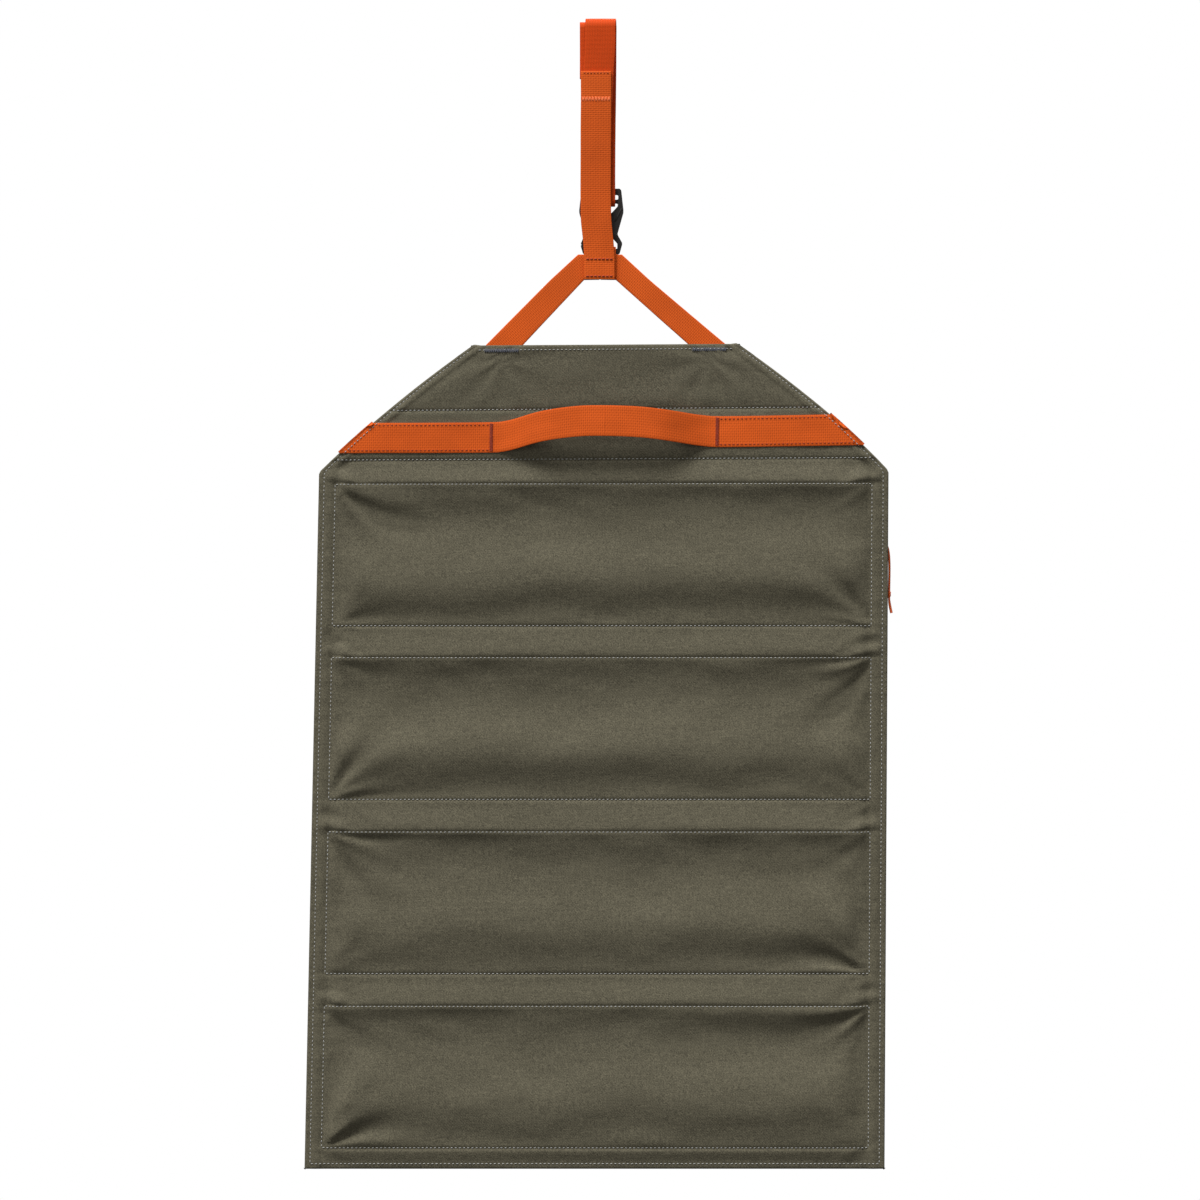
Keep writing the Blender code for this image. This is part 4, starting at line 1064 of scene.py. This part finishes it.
def lay_strip(name, node, points, step, look, wall, held="hung", **wobble):
    """Webbing along a smooth line through some points, riding with the strap in place of a CAD node."""
    line, length = spaced(fair(points), step)
    obj = webbing_strip(name, line, [-RIGHT] * len(line), look, wall, **wobble)
    finish_on(obj, "strap", node)


def crown_depth():
    """From the middle of the crown's turn to the middle of the webbing that goes round it."""
    return high("strap_top") + CROWN_DROP - web().thickness / 2


def strap():
    """The hanging strap: its hemmed front ply, the one over the crown to the hook, and a short hidden one."""
    wall = web().thickness
    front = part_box("strap_front")
    top, patch = front[1][2], front[0][2]
    hem_y = front[0][1] + wall / 2
    patch_y = front[1][1] - wall / 2
    seam = patch + 0.0172
    fold = top - HEM_PLY
    points = [(HEM_X, hem_y, top), (HEM_X, hem_y, top - HEM_PLY / 2), (HEM_X, hem_y, fold)]
    for t in spread(0.0, 1.0, 8)[1:]:
        x = HEM_X + (PATCH_X - HEM_X) * smooth((t - 0.70) / 0.30) - 0.0003 * math.sin(math.pi * t)
        points.append((x, hem_y + (patch_y - hem_y) * t, fold + (seam - fold) * t))
    points += [(PATCH_X, patch_y, (seam + patch) / 2), (PATCH_X, patch_y, patch)]
    lay_strip("front_strap", "strap_front", points, 0.0022, "webbing", wall, sway=0.0003, uneven=0.010)
    # the ply over the crown and the hidden ply take the darker copy of the webbing, painted shade
    lay_strip("crown_strap", "strap_top", crown_line(), 0.0020, "strap_top", wall, sway=0.0002, uneven=0.008)
    mid = crown_depth() - 1.15 * wall
    points = [(-0.0040, -mid, top - 0.006), (-0.0040, -mid, top / 2), (-0.0040, -mid, -0.0060)]
    for k in range(1, 12):
        turn = math.pi * k / 12
        points.append((-0.0040, -mid * math.cos(turn), -0.0060 + mid * math.sin(turn)))
    points += [(-0.0040, mid, -0.0060), (-0.0038, mid, top / 2)]
    lay_strip("inner_strap", "strap_front", points, 0.0020, "strap_top", wall, sway=0.0002, uneven=0.008)
    thread, tacks, lower = Thread(), Thread(), Thread()
    y = hem_y - wall / 2
    thread.run([Vector((HEM_X + x, y, top - 0.0016)) for x in (-0.0108, 0.0108)], OUT, pitch=0.0026)
    for k in range(9):
        x = HEM_X - 0.0104 + 0.0026 * k
        tacks.tack((x - 0.0006, y, top - 0.0228), (x + 0.0006, y, top - 0.0228), 0.0042, OUT, 0.0004, 0.0008)
    for z in (seam - 0.0006, patch + 0.0026):
        row = [Vector((PATCH_X + x, patch_y - wall / 2, z)) for x in (-0.0112, 0.0112)]
        lower.run(row, OUT, share=0.86, radius=0.0006)
    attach(thread.build("strap_hem_stitches", "red_thread", "webbing"), "strap")
    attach(tacks.build("strap_hem_tacks", "pale_thread", "webbing"), "strap")
    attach(lower.build("patch_stitches", "red_thread", "webbing"), "strap")


def crown_line():
    """From the hem, over the crown, down to the hook's bar, round it and up again."""
    mid = crown_depth()
    hem = high("strap_front")
    hook_top = high("snap_hook")
    setback = (low("snap_hook", 1) + high("snap_hook", 1)) / 2
    bar = hook_top - 0.0105
    reach = 0.0039
    above = hook_top + 0.004
    points = [(-0.0024, -mid, hem - HEM_PLY), (-0.0012, -mid, hem), (0.0, -mid, (hem - CROWN_DROP) / 2)]
    for k in range(13):
        turn = math.pi * k / 12
        points.append((0.0003 + 0.0008 * k / 12, -mid * math.cos(turn), -CROWN_DROP + mid * math.sin(turn)))

    def behind(t):
        return mid + (setback - reach - mid) * smooth(t)

    for t in spread(0.0, 1.0, 12)[1:]:
        points.append((0.0011 * (1.0 - smooth(t)), behind(t), -CROWN_DROP + (above + CROWN_DROP) * t))
    for angle in spread(180.0, 360.0, 12):
        turn = math.radians(angle)
        points.append((0.0, setback + reach * math.cos(turn), bar + 0.0034 * math.sin(turn)))
    points.append((0.0, setback + reach, hook_top))
    for height in (0.0085, 0.0140, 0.0195):
        t = (-CROWN_DROP - hook_top - height) / (-CROWN_DROP - above)
        points.append((0.0, behind(t) + 0.0019, hook_top + height))
    return points


def clip_loop():
    """The loop that the hook clips, sewn before and behind the yoke."""
    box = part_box("clip_loop")
    yoke_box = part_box("yoke")
    wall = 0.0013
    over = box[1][2] - wall / 2
    front, back = box[0][1] + wall / 2, box[1][1] - wall / 2
    sewn_behind = yoke_box[1][1] + 0.0003 + wall / 2
    route = [
        (front, box[0][2]),
        (front, yoke_box[1][2]),
        (front, over - 0.0022),
        (front + 0.0002, over - 0.0008),
        (front + 0.0009, over),
        ((front + back) / 2, over),
        (back - 0.0009, over),
        (back - 0.0002, over - 0.0008),
        (back, over - 0.0022),
        (back, over - 0.0048),
        (sewn_behind, yoke_box[1][2] - 0.009),
        (sewn_behind, box[0][2]),
    ]
    points = [(-0.0006, y, z) for y, z in route]
    lay_strip("hook_loop", "clip_loop", points, 0.0010, "webbing", wall, held="stretched")


def yoke():
    """Two arms that spread from the patch, behind the flap's top edge, to their sewn ends in it."""
    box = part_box("yoke")
    top, patch, line, foot = box[1][2], low("strap_front"), box[0][2], low("yoke_end_right")
    tip = box[1][0] + 0.0075
    outer = [(0.0004, top), (0.0180, top - 0.0002), (box[1][0], line), (tip, foot + 0.012), (tip, foot)]
    inner = [(0.0004, patch), (0.0131, patch - 0.0002), (0.0675, line)]
    inner += [(0.0812, line - 0.0134), (0.0948, foot)]
    outer, inner = [Vector(point) for point in outer], [Vector(point) for point in inner]
    rows = []
    for k, count in enumerate((4, 22, 7, 5)):
        for t in spread(0.0, 1.0, count)[min(k, 1) :]:
            rows.append((outer[k].lerp(outer[k + 1], t), inner[k].lerp(inner[k + 1], t)))
    lean = (outer[2] - outer[1]).normalized()
    middle = (box[0][1] + box[1][1]) / 2

    def spot(i, j):
        return rows[j][0].lerp(rows[j][1], i / WEBBING_CELLS)

    def flat(i, j):
        point = spot(i, j)
        return (point.x * lean.y - point.y * lean.x, point.x * lean.x + point.y * lean.y)

    for side, word in ((1.0, "right"), (-1.0, "left")):

        def place(i, j):
            point = spot(i, j)
            sway = 0.0003 * noise.noise(Vector((point.x * 40.0, side, point.y * 40.0)))
            return (side * point.x, box[0][1] + sway, point.y)

        obj = grid_piece(f"yoke_arm_{word}", WEBBING_CELLS, len(rows) - 1, place, flat)
        facing_out(obj, OUT)
        thicken(obj, web().thickness)
        round_edges(obj)
        shade(obj, 50.0)
        dress(obj, "webbing")
        start, end = (0.0, middle, FLAP_TOP + 0.003), (0.0, middle, FLAP_TOP - 0.003)
        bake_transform(obj)
        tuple(start)
        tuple(end)
        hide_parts("yoke", f"yoke_end_{word}")


# Middle line of the handle as it hangs: places across, and heights over the middle of its sewn ends
HANDLE_HANG = ((-0.210, -0.0026), (-0.105, -0.0028), (-0.080, -0.0016), (-0.052, 0.0055))
HANDLE_HANG += ((-0.022, 0.0094), (0.006, 0.0096), (0.032, 0.0082), (0.057, 0.0050))
HANDLE_HANG += ((0.080, 0.0017), (0.105, 0.0008), (0.210, 0.0018))


def handle_line(x):
    """Middle line of the carrying handle: sewn at its ends, bowed out and up between."""
    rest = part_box("handle_end_right")
    middle_y = (rest[0][1] + rest[1][1]) / 2
    middle_z = (rest[0][2] + rest[1][2]) / 2
    bow = middle_y - (low("handle_grip", 1) + web().thickness / 2)
    share = smooth((HANDLE_SEWN - abs(x)) / 0.052) * 0.92 + 0.08 * max(1.0 - (x / 0.040) ** 2, 0.0)
    hang = fair([(place, 0.0, rise) for place, rise in HANDLE_HANG], 8)
    rise = float(np.interp(x, [point.x for point in hang], [point.z for point in hang]))
    return Vector((x, middle_y - bow * share, middle_z + rise))


def handle():
    """The carrying handle in two halves, each sewn down outside and free towards the middle."""
    wall = web().thickness
    limits = {}

    def reach(z):
        # heights that are as good as level share one limit, so that the cut end stays straight
        return limits.setdefault(round(z, 5), half_width(z) - 0.0006)

    for side, word in ((1.0, "right"), (-1.0, "left")):
        line = [handle_line(side * x) for x in spread(0.2200, 0.0, 110)]
        rises = []
        for point in line:
            free = smooth((HANDLE_SEWN - abs(point.x)) / 0.03)
            rises.append(Vector((0.0, 0.01 * free, 1.0)).normalized() * (-side))
        name = f"handle_{word}"
        obj = webbing_strip(name, line, rises, "webbing", wall, sway=0.00025, uneven=0.006, reach=reach)
        middle = line[0].z
        length = measure([point for point in line if abs(point.x) < reach(middle)])[-1]
        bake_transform(obj)
        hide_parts(f"handle_end_{word}", f"handle_flex_{word}", "handle_grip")
        thread, edge = Thread(), Thread()
        for offset in (-0.0104, 0.0104):
            row = []
            for point in line:
                if HANDLE_TACK < abs(point.x) < reach(point.z + offset) - 0.004:
                    row.append(point + Vector((0.0, -wall / 2, offset)))
            thread.run(row, OUT, radius=0.00036)
        y = line[0].y - wall / 2
        x, z = side * HANDLE_TACK, handle_line(side * HANDLE_TACK).z
        thread.tack((x, y, z - 0.0112), (x, y, z + 0.0112), 0.0034, OUT, 0.00032)
        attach(thread.build(f"handle_stitches_{word}", "red_thread", "webbing"), "handle_band")
        half = web().width / 2
        edge.run(edge_line(side, middle + half, middle - half, cloth().edge_stitch, lambda z: y), OUT)
        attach(edge.build(f"handle_edge_stitches_{word}", "grey_thread", "webbing"), "handle_band")


# Hook, zips and pulls


def frame_copy(node, name, look, body, bevel, segments=3):
    """A rounded copy of a hard CAD node, which it stands for."""
    source = frame["nodes"][node]
    obj = bpy.data.objects.new(name, source.data.copy())
    bpy.context.scene.collection.objects.link(obj)
    bm = bmesh.new()
    bm.from_mesh(obj.data)
    bmesh.ops.remove_doubles(bm, verts=bm.verts, dist=0.00001)
    bmesh.ops.dissolve_limit(bm, angle_limit=0.02, verts=bm.verts, edges=bm.edges)
    bm.to_mesh(obj.data)
    bm.free()
    apply_modifier(
        obj, "round", "BEVEL", width=bevel, segments=segments, limit_method="ANGLE", angle_limit=0.5
    )
    shade(obj, 35.0)
    dress(obj, look)
    return finish_on(obj, body, node)


def hook():
    """The snap hook with the raised ridges on its shoulders, its gate and the gate's pin."""
    frame_copy("snap_hook", "hook_body", "hook", "hook", 0.0006)
    frame_copy("hook_gate", "hook_tongue", "hook", "gate", 0.0003)
    frame_copy("gate_pin", "hook_pin", "pin", "hook", 0.0002)
    ridges = Thread()
    for side in (1.0, -1.0):
        centre = (side * 0.0140, low("snap_hook", 1), low("snap_hook") + 0.0320)
        ridges.bead(centre, (side * 0.0045, 0.0, 0.0090), OUT, 0.0068, 0.0009, 0.5)
    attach(ridges.build("hook_ridges", "hook", "hook_plastic"), "hook")


def zip_teeth(n):
    level = ZIPS[n - 1]
    half = (high(f"zipper_{n}", 0) - low(f"zipper_{n}", 0)) / 2 - 0.004
    pitch = hard().tooth_pitch / 1.5
    teeth = Thread()
    count = round(2 * half / pitch)
    for side in (-1.0, 1.0):
        for k in range(count):
            x = -half + (k + (0.25 if side > 0 else 0.75)) * pitch
            centre = (x, POCKET_FACE + 0.00060, level + side * 0.00128)
            teeth.bead(centre, (0.22 * side, 0.0, side), IN, 0.00092, 0.00036, 1.25)
    obj = teeth.build(f"zip_teeth_{n}", "coil", "zip_tape")
    return finish_on(obj, f"panel_{n}")


PULL_DROP = 0.060  # from a pull's bridge down to its knot
PULL_TAIL = 0.015  # from the knot down to the cord's loose ends


def pull_paths(n):
    """Both strands of a pull's cord, from the bridge down through the knot to their loose ends."""
    x, level = SLIDERS[n - 1], ZIPS[n - 1]
    radius = web().cord / 2
    cord_y = BRIDGE_TOP - 0.0006 - radius - 0.0001
    knot_y = (POCKET_FACE + BRIDGE_TOP) / 2 + (0.0013 if n == 1 else 0.0)
    if n == 1:
        centre = [(0.0, 0.0), (0.0, 0.0024), (0.003, 0.0042), (0.010, 0.0048), (0.0165, 0.0060)]
        centre += [(0.0208, 0.0092), (0.0229, 0.016), (0.0237, 0.028), (0.0237, 0.0505)]
    else:
        centre = [(0.0, PULL_DROP * t) for t in (0.0, 0.055, 0.11, 0.16, 0.22, 0.30, 0.6, 1.0)]
    knot = centre[-1]
    centre.append((knot[0] + 0.0006, knot[1] + PULL_TAIL / 2))
    centre.append((knot[0] + 0.0022, knot[1] + PULL_TAIL))
    strands = []
    for side in (1.0, -1.0):
        strand = [Vector((x, cord_y, level)), Vector((x + side * 0.0012, cord_y, level))]
        length = 0.0
        for behind, (right, down), ahead in zip(centre, centre[1:], [*centre[2:], centre[-1]]):
            length += math.dist((right, down), behind)
            lean = math.atan2(ahead[0] - behind[0], ahead[1] - behind[1])
            twist = smooth((length - 0.004) / 0.010)
            turn = math.radians(90.0) * twist
            space = 0.0020 + (2 * radius * 0.53 - 0.0020) * twist
            if down > knot[1]:
                space = 2 * radius * (0.53 + 0.2 * (down - knot[1]) / PULL_TAIL)
                turn = math.radians(75.0)
            flat = side * space * math.cos(turn)
            y = cord_y + (knot_y - cord_y) * twist + side * space * math.sin(turn)
            place = (x + right + flat * math.cos(lean), y, level - down + flat * math.sin(lean))
            strand.append(Vector(place))
        strands.append(strand)
    return strands, Vector((x + knot[0], knot_y, level - knot[1]))


HOOK_SHIFT = 0.0011  # how far the hook hangs to the right of the strap's middle
LEAN = ((BOTTOM, FLAP_TOP, low("strap_front")), (-0.0045, 0.0045, 0.0))
TILT_LEVELS = (HANDLE_SEAM - 0.03, HANDLE_SEAM, FLAP_SEAM, FLAP_TOP, low("strap_front"))
TILT = (TILT_LEVELS, (0.0, 0.0045, 0.0080, 0.0060, 0.0))


def askew(x, z):
    """Where points come to hang: the roll's foot goes to the left, and its handle's right end up."""
    return x + np.interp(z, *LEAN), z + x * np.interp(z, *TILT)


def settle():
    """Lets every piece hang a little askew from the strap, and shifts the hook with the loop that it clips.

    The cords are left out, because tube() lays them askew.
    """
    for obj in bpy.context.scene.objects:
        if obj.type != "MESH" or obj.name in frame["nodes"]:
            continue
        places = np.empty(3 * len(obj.data.vertices))
        obj.data.vertices.foreach_get("co", places)
        places[0::3], places[2::3] = askew(places[0::3], places[2::3])
        if obj.name.startswith("hook_"):
            places[0::3] += HOOK_SHIFT
        obj.data.vertices.foreach_set("co", places)
        obj.data.update()


def tube(name, line, radius, look):
    """A round cord along a smooth line, as a curve with a bevel."""
    curve = bpy.data.curves.new(name, "CURVE")
    curve.dimensions = "3D"
    curve.bevel_depth = radius
    curve.bevel_resolution = 3
    curve.use_fill_caps = True
    spline = curve.splines.new("POLY")
    spline.points.add(len(line) - 1)
    for point, place in zip(spline.points, line):
        x, z = askew(place[0], place[2])
        point.co = (float(x), place[1], float(z), 1.0)
    obj = bpy.data.objects.new(name, curve)
    bpy.context.scene.collection.objects.link(obj)
    obj.data.materials.append(MATERIALS[look])
    return obj


def zip_pull(n):
    radius = web().cord / 2
    strands, knot = pull_paths(n)
    wraps = []
    for k in range(3):
        deselect_all()
        bpy.ops.mesh.primitive_torus_add(
            major_segments=20, minor_segments=10, major_radius=radius * 1.35, minor_radius=radius * 0.95
        )
        ring = bpy.context.active_object
        for vertex in ring.data.vertices:
            across, out, up = vertex.co
            up += across * 0.35 + (k - 1) * radius * 1.45
            vertex.co = Vector((across * 0.78, out * 1.12, up)) + knot
        wraps.append(ring)
    pick(wraps[0])
    for ring in wraps[1:]:
        ring.select_set(True)
    bpy.ops.object.join()
    knot_piece = wraps[0]
    knot_piece.name = f"pull_knot_{n}"
    shade(knot_piece, 60.0)
    dress(knot_piece, "cord")
    finish_on(knot_piece, f"pull_{n}", f"zip_pull_{n}")
    for strand, word in zip(strands, ("right", "left")):
        line, length = spaced(fair(strand, 8), 0.0011)
        cord = tube(f"pull_cord_{word}_{n}", line, radius, "cord")
        finish_on(cord, f"pull_{n}", f"zip_pull_{n}")
        tuple(line[0])


# Outer and inner cloth of each part of the roll


def upper_part(name, top, bottom, face, seed, steps, bodies, nodes, turned=0.0):
    """Outer and inner cloth of a part above the panels; turned is the hem along its top edge."""
    outer = cloth_piece(f"{name}_cloth", clustered(bottom, top, UPPER_ROWS), turned_top=turned)
    width = half_width(top) + half_width(bottom) + 2 * cloth().hem
    start = top - FLAP_GAP if turned else top
    levels = spread(start, bottom, steps)
    inner = inner_piece(f"{name}_inner_cloth", levels, inside_hem, lining_depth(face, seed))
    for obj, node in zip((outer, inner), nodes):
        if len(bodies) == 1:
            finish_on(obj, *bodies, node)
        else:
            bend_on(obj, bodies, top, top - FOLD_REACH, node)


def upper_cloth():
    """The flap, the band that carries the handle, and the shoulder below it."""
    nodes = ("flap_cover", "flap_lining")
    upper_part("flap", FLAP_TOP, FLAP_SEAM, FLAP_FACE, 5.0, 16, ["flap"], nodes, turned=FLAP_HEM)
    bodies, nodes = ("flap", "handle_band"), ("handle_band_cover", "handle_band_lining")
    upper_part("handle_band", FLAP_SEAM, HANDLE_SEAM, BAND_FACE, 6.0, 14, bodies, nodes)
    bodies, nodes = ("handle_band", "panel_1"), ("panel_cover_1", "panel_lining_1")
    upper_part("shoulder", HANDLE_SEAM, PANEL_TOPS[0], LINING_FACE, 7.0, 8, bodies, nodes)


def panel_cloth(n):
    """Outer and inner cloth of a panel; the last one reaches down to the turned hem at the foot."""
    top = PANEL_TOPS[n - 1]
    bottom = top - PANEL_HEIGHT
    rows = clustered(bottom, top, PANEL_ROWS)
    turned, last = 0.0, bottom
    if n == PANELS:
        rows = clustered(BOTTOM, bottom, PANEL_ROWS)[:-1] + rows
        turned, last = FOOT_HEM, BOTTOM + FOOT_GAP
    obj = cloth_piece(f"panel_cloth_{n}", rows, turned_bottom=turned)
    half = half_width(top - PANEL_HEIGHT / 2)
    finish_on(obj, f"panel_{n}", f"panel_cover_{n}")
    depth = lining_depth(LINING_FACE, 10.0 + n)
    obj = inner_piece(f"panel_inner_cloth_{n}", spread(top, last, 30), inside_hem, depth)
    finish_on(obj, f"panel_{n}", f"panel_lining_{n}")


def fold_cloth(n):
    """Outer and inner cloth of the band below a panel, which bends between it and the next."""
    top = PANEL_TOPS[n - 1] - PANEL_HEIGHT
    bottom = PANEL_TOPS[n]
    outer = cloth_piece(f"fold_cloth_{n}", clustered(bottom, top, FOLD_ROWS))
    2 * half_width(top) + 2 * cloth().hem
    depth = lining_depth(LINING_FACE, 15.0 + n)
    inner = inner_piece(f"fold_inner_cloth_{n}", spread(top, bottom, 12), inside_hem, depth)
    2 * half_width(top) - 2 * LINING_INSET
    for obj in (outer, inner):
        bend_on(obj, (f"panel_{n}", f"panel_{n + 1}"), top, bottom, f"fold_band_{n}")


# The stage


VIEW_DISTANCE = 2.733  # from the camera to the frame's origin, along the view
VIEW_LEVEL = -0.475
FLOOR_DROP = 0.30  # from the cloth's foot down to the floor
FLOOR_SIZE = 2.8


def stage():
    """Pale surroundings, which show brighter than they light the roll, the floor, lamps and camera."""
    scene = bpy.context.scene
    scene.world = bpy.data.worlds.new("soft_room")
    scene.world.use_nodes = True
    tree = scene.world.node_tree
    background = tree.nodes["Background"]
    background.inputs["Color"].default_value = (1.0, 1.0, 1.0, 1.0)
    seen = tree.nodes.new("ShaderNodeLightPath")
    level = tree.nodes.new("ShaderNodeMapRange")
    tree.links.new(seen.outputs["Is Camera Ray"], level.inputs["Value"])
    level.inputs["To Min"].default_value = 0.12
    level.inputs["To Max"].default_value = 1.0
    tree.links.new(level.outputs["Result"], background.inputs["Strength"])
    floor()
    lamp("key", (-1.0, -1.25, 0.55), 0.35, 0.36)
    lamp("fill", (0.9, -1.25, 0.15), 0.6, 0.42)
    lamp("top", (-0.30, -0.46, 1.20), 0.42, 5.3)
    lamp("back", (0.6, 1.2, 1.1), 0.5, 4.2)
    data = bpy.data.cameras.new("camera")
    data.lens = 100.0
    data.sensor_width = 36.0
    data.clip_end = 60.0
    camera = bpy.data.objects.new("camera", data)
    scene.collection.objects.link(camera)
    camera.location = (0.0, -VIEW_DISTANCE, VIEW_LEVEL)
    camera.rotation_euler = (math.radians(90.0), 0.0, 0.0)
    scene.camera = camera
    scene.view_settings.view_transform = "Standard"


def floor():
    """A plain pale floor well below the foot; dark to all but the camera, so it throws little light."""
    deselect_all()
    bpy.ops.mesh.primitive_plane_add(size=FLOOR_SIZE, location=(0.0, 0.0, BOTTOM - FLOOR_DROP))
    obj = bpy.context.object
    obj.name = "floor"
    look = bpy.data.materials.new("pale_floor")
    look.use_nodes = True
    tree = look.node_tree
    tree.nodes.clear()
    seen = tree.nodes.new("ShaderNodeLightPath")
    choice = tree.nodes.new("ShaderNodeMixShader")
    tree.links.new(seen.outputs["Is Camera Ray"], choice.inputs["Fac"])
    for socket, grey in ((1, 0.05), (2, 0.45)):
        paint = tree.nodes.new("ShaderNodeBsdfDiffuse")
        paint.inputs["Color"].default_value = (grey, grey, grey, 1.0)
        tree.links.new(paint.outputs["BSDF"], choice.inputs[socket])
    out = tree.nodes.new("ShaderNodeOutputMaterial")
    tree.links.new(choice.outputs["Shader"], out.inputs["Surface"])
    obj.data.materials.append(look)


def lamp(name, towards, softness, strength):
    """A distant soft lamp in a direction from the roll."""
    data = bpy.data.lights.new(name, "SUN")
    data.angle = softness
    data.energy = strength
    obj = bpy.data.objects.new(name, data)
    bpy.context.scene.collection.objects.link(obj)
    obj.location = Vector(towards) * 2.0
    obj.rotation_euler = Vector(towards).to_track_quat("Z", "Y").to_euler()


def batten_shade_finish():
    """A near-black finish for the stiff sheet inside the handle band, the one CAD solid that stays: painted
    shade, so that where its edge shows through the cloth at a fold it reads as a shadowed crease.
    """
    data = frame["nodes"]["batten"].data
    data.materials.clear()
    data.materials.append(MATERIALS["batten"])


# Operators and panel


class ROLL_OT_cloth(bpy.types.Operator):
    """Makes the outer and inner cloth with its stitching"""

    bl_idname = "roll.cloth"
    bl_label = "Cloth"

    def execute(self, context):
        upper_cloth()
        for n in range(1, PANELS + 1):
            panel_cloth(n)
            panel_stitches(n)
            if n < PANELS:
                fold_cloth(n)
                fold_stitches(n)
        upper_stitches()
        return {"FINISHED"}


class ROLL_OT_pockets(bpy.types.Operator):
    """Makes the four zipped pockets on the inner side"""

    bl_idname = "roll.pockets"
    bl_label = "Pockets"

    def execute(self, context):
        for n in range(1, PANELS + 1):
            pocket_top(n)
            pocket_net(n)
            tape_binding(n, 1.0)
            tape_binding(n, -1.0)
            zip_teeth(n)
            name = f"slider_body_{n}"
            frame_copy(f"zip_slider_{n}", name, "slider", f"slider_{n}", 0.00022, 2)
            zip_pull(n)
        return {"FINISHED"}


class ROLL_OT_webbing(bpy.types.Operator):
    """Makes the strap, the yoke, the hook's loop and the carrying handle"""

    bl_idname = "roll.webbing"
    bl_label = "Webbing"

    def execute(self, context):
        strap()
        clip_loop()
        yoke()
        handle()
        return {"FINISHED"}


class ROLL_OT_hook(bpy.types.Operator):
    """Makes the snap hook with its gate and pin, and gives the stiff sheet its near-black finish, painted
    shade where it shows through the cloth
    """

    bl_idname = "roll.hook"
    bl_label = "Snap hook"

    def execute(self, context):
        hook()
        batten_shade_finish()
        return {"FINISHED"}


class ROLL_OT_stage(bpy.types.Operator):
    """Makes the floor, the lamps, the pale surroundings and the camera"""

    bl_idname = "roll.stage"
    bl_label = "Stage"

    def execute(self, context):
        stage()
        return {"FINISHED"}


class ROLL_PT_panel(bpy.types.Panel):
    """Sizes, colours and steps of the utensil roll"""

    bl_idname = "ROLL_PT_panel"
    bl_label = "Utensil Roll"
    bl_space_type = "VIEW_3D"
    bl_region_type = "UI"
    bl_category = "Utensil Roll"

    def draw(self, context):
        for group in (cloth(), web(), hard()):
            box = self.layout.box()
            for key in group.__annotations__:
                box.prop(group, key)
        for operator in OPERATORS:
            self.layout.operator(operator.bl_idname)


GROUPS = {"roll_cloth": RollCloth, "roll_webbing": RollWebbing, "roll_hardware": RollHardware}
OPERATORS = (ROLL_OT_webbing, ROLL_OT_cloth, ROLL_OT_pockets, ROLL_OT_hook, ROLL_OT_stage)


def register():
    for name, group in GROUPS.items():
        bpy.utils.register_class(group)
        setattr(bpy.types.Scene, name, bpy.props.PointerProperty(type=group))
    for operator in OPERATORS:
        bpy.utils.register_class(operator)
    bpy.utils.register_class(ROLL_PT_panel)


def unregister():
    bpy.utils.unregister_class(ROLL_PT_panel)
    for operator in reversed(OPERATORS):
        bpy.utils.unregister_class(operator)
    for name, group in reversed(GROUPS.items()):
        delattr(bpy.types.Scene, name)
        bpy.utils.unregister_class(group)


def main():
    register()
    make_materials()
    bpy.ops.roll.webbing()
    bpy.ops.roll.cloth()
    bpy.ops.roll.pockets()
    bpy.ops.roll.hook()
    settle()
    bpy.ops.roll.stage()


if __name__ == "__main__":
    main()
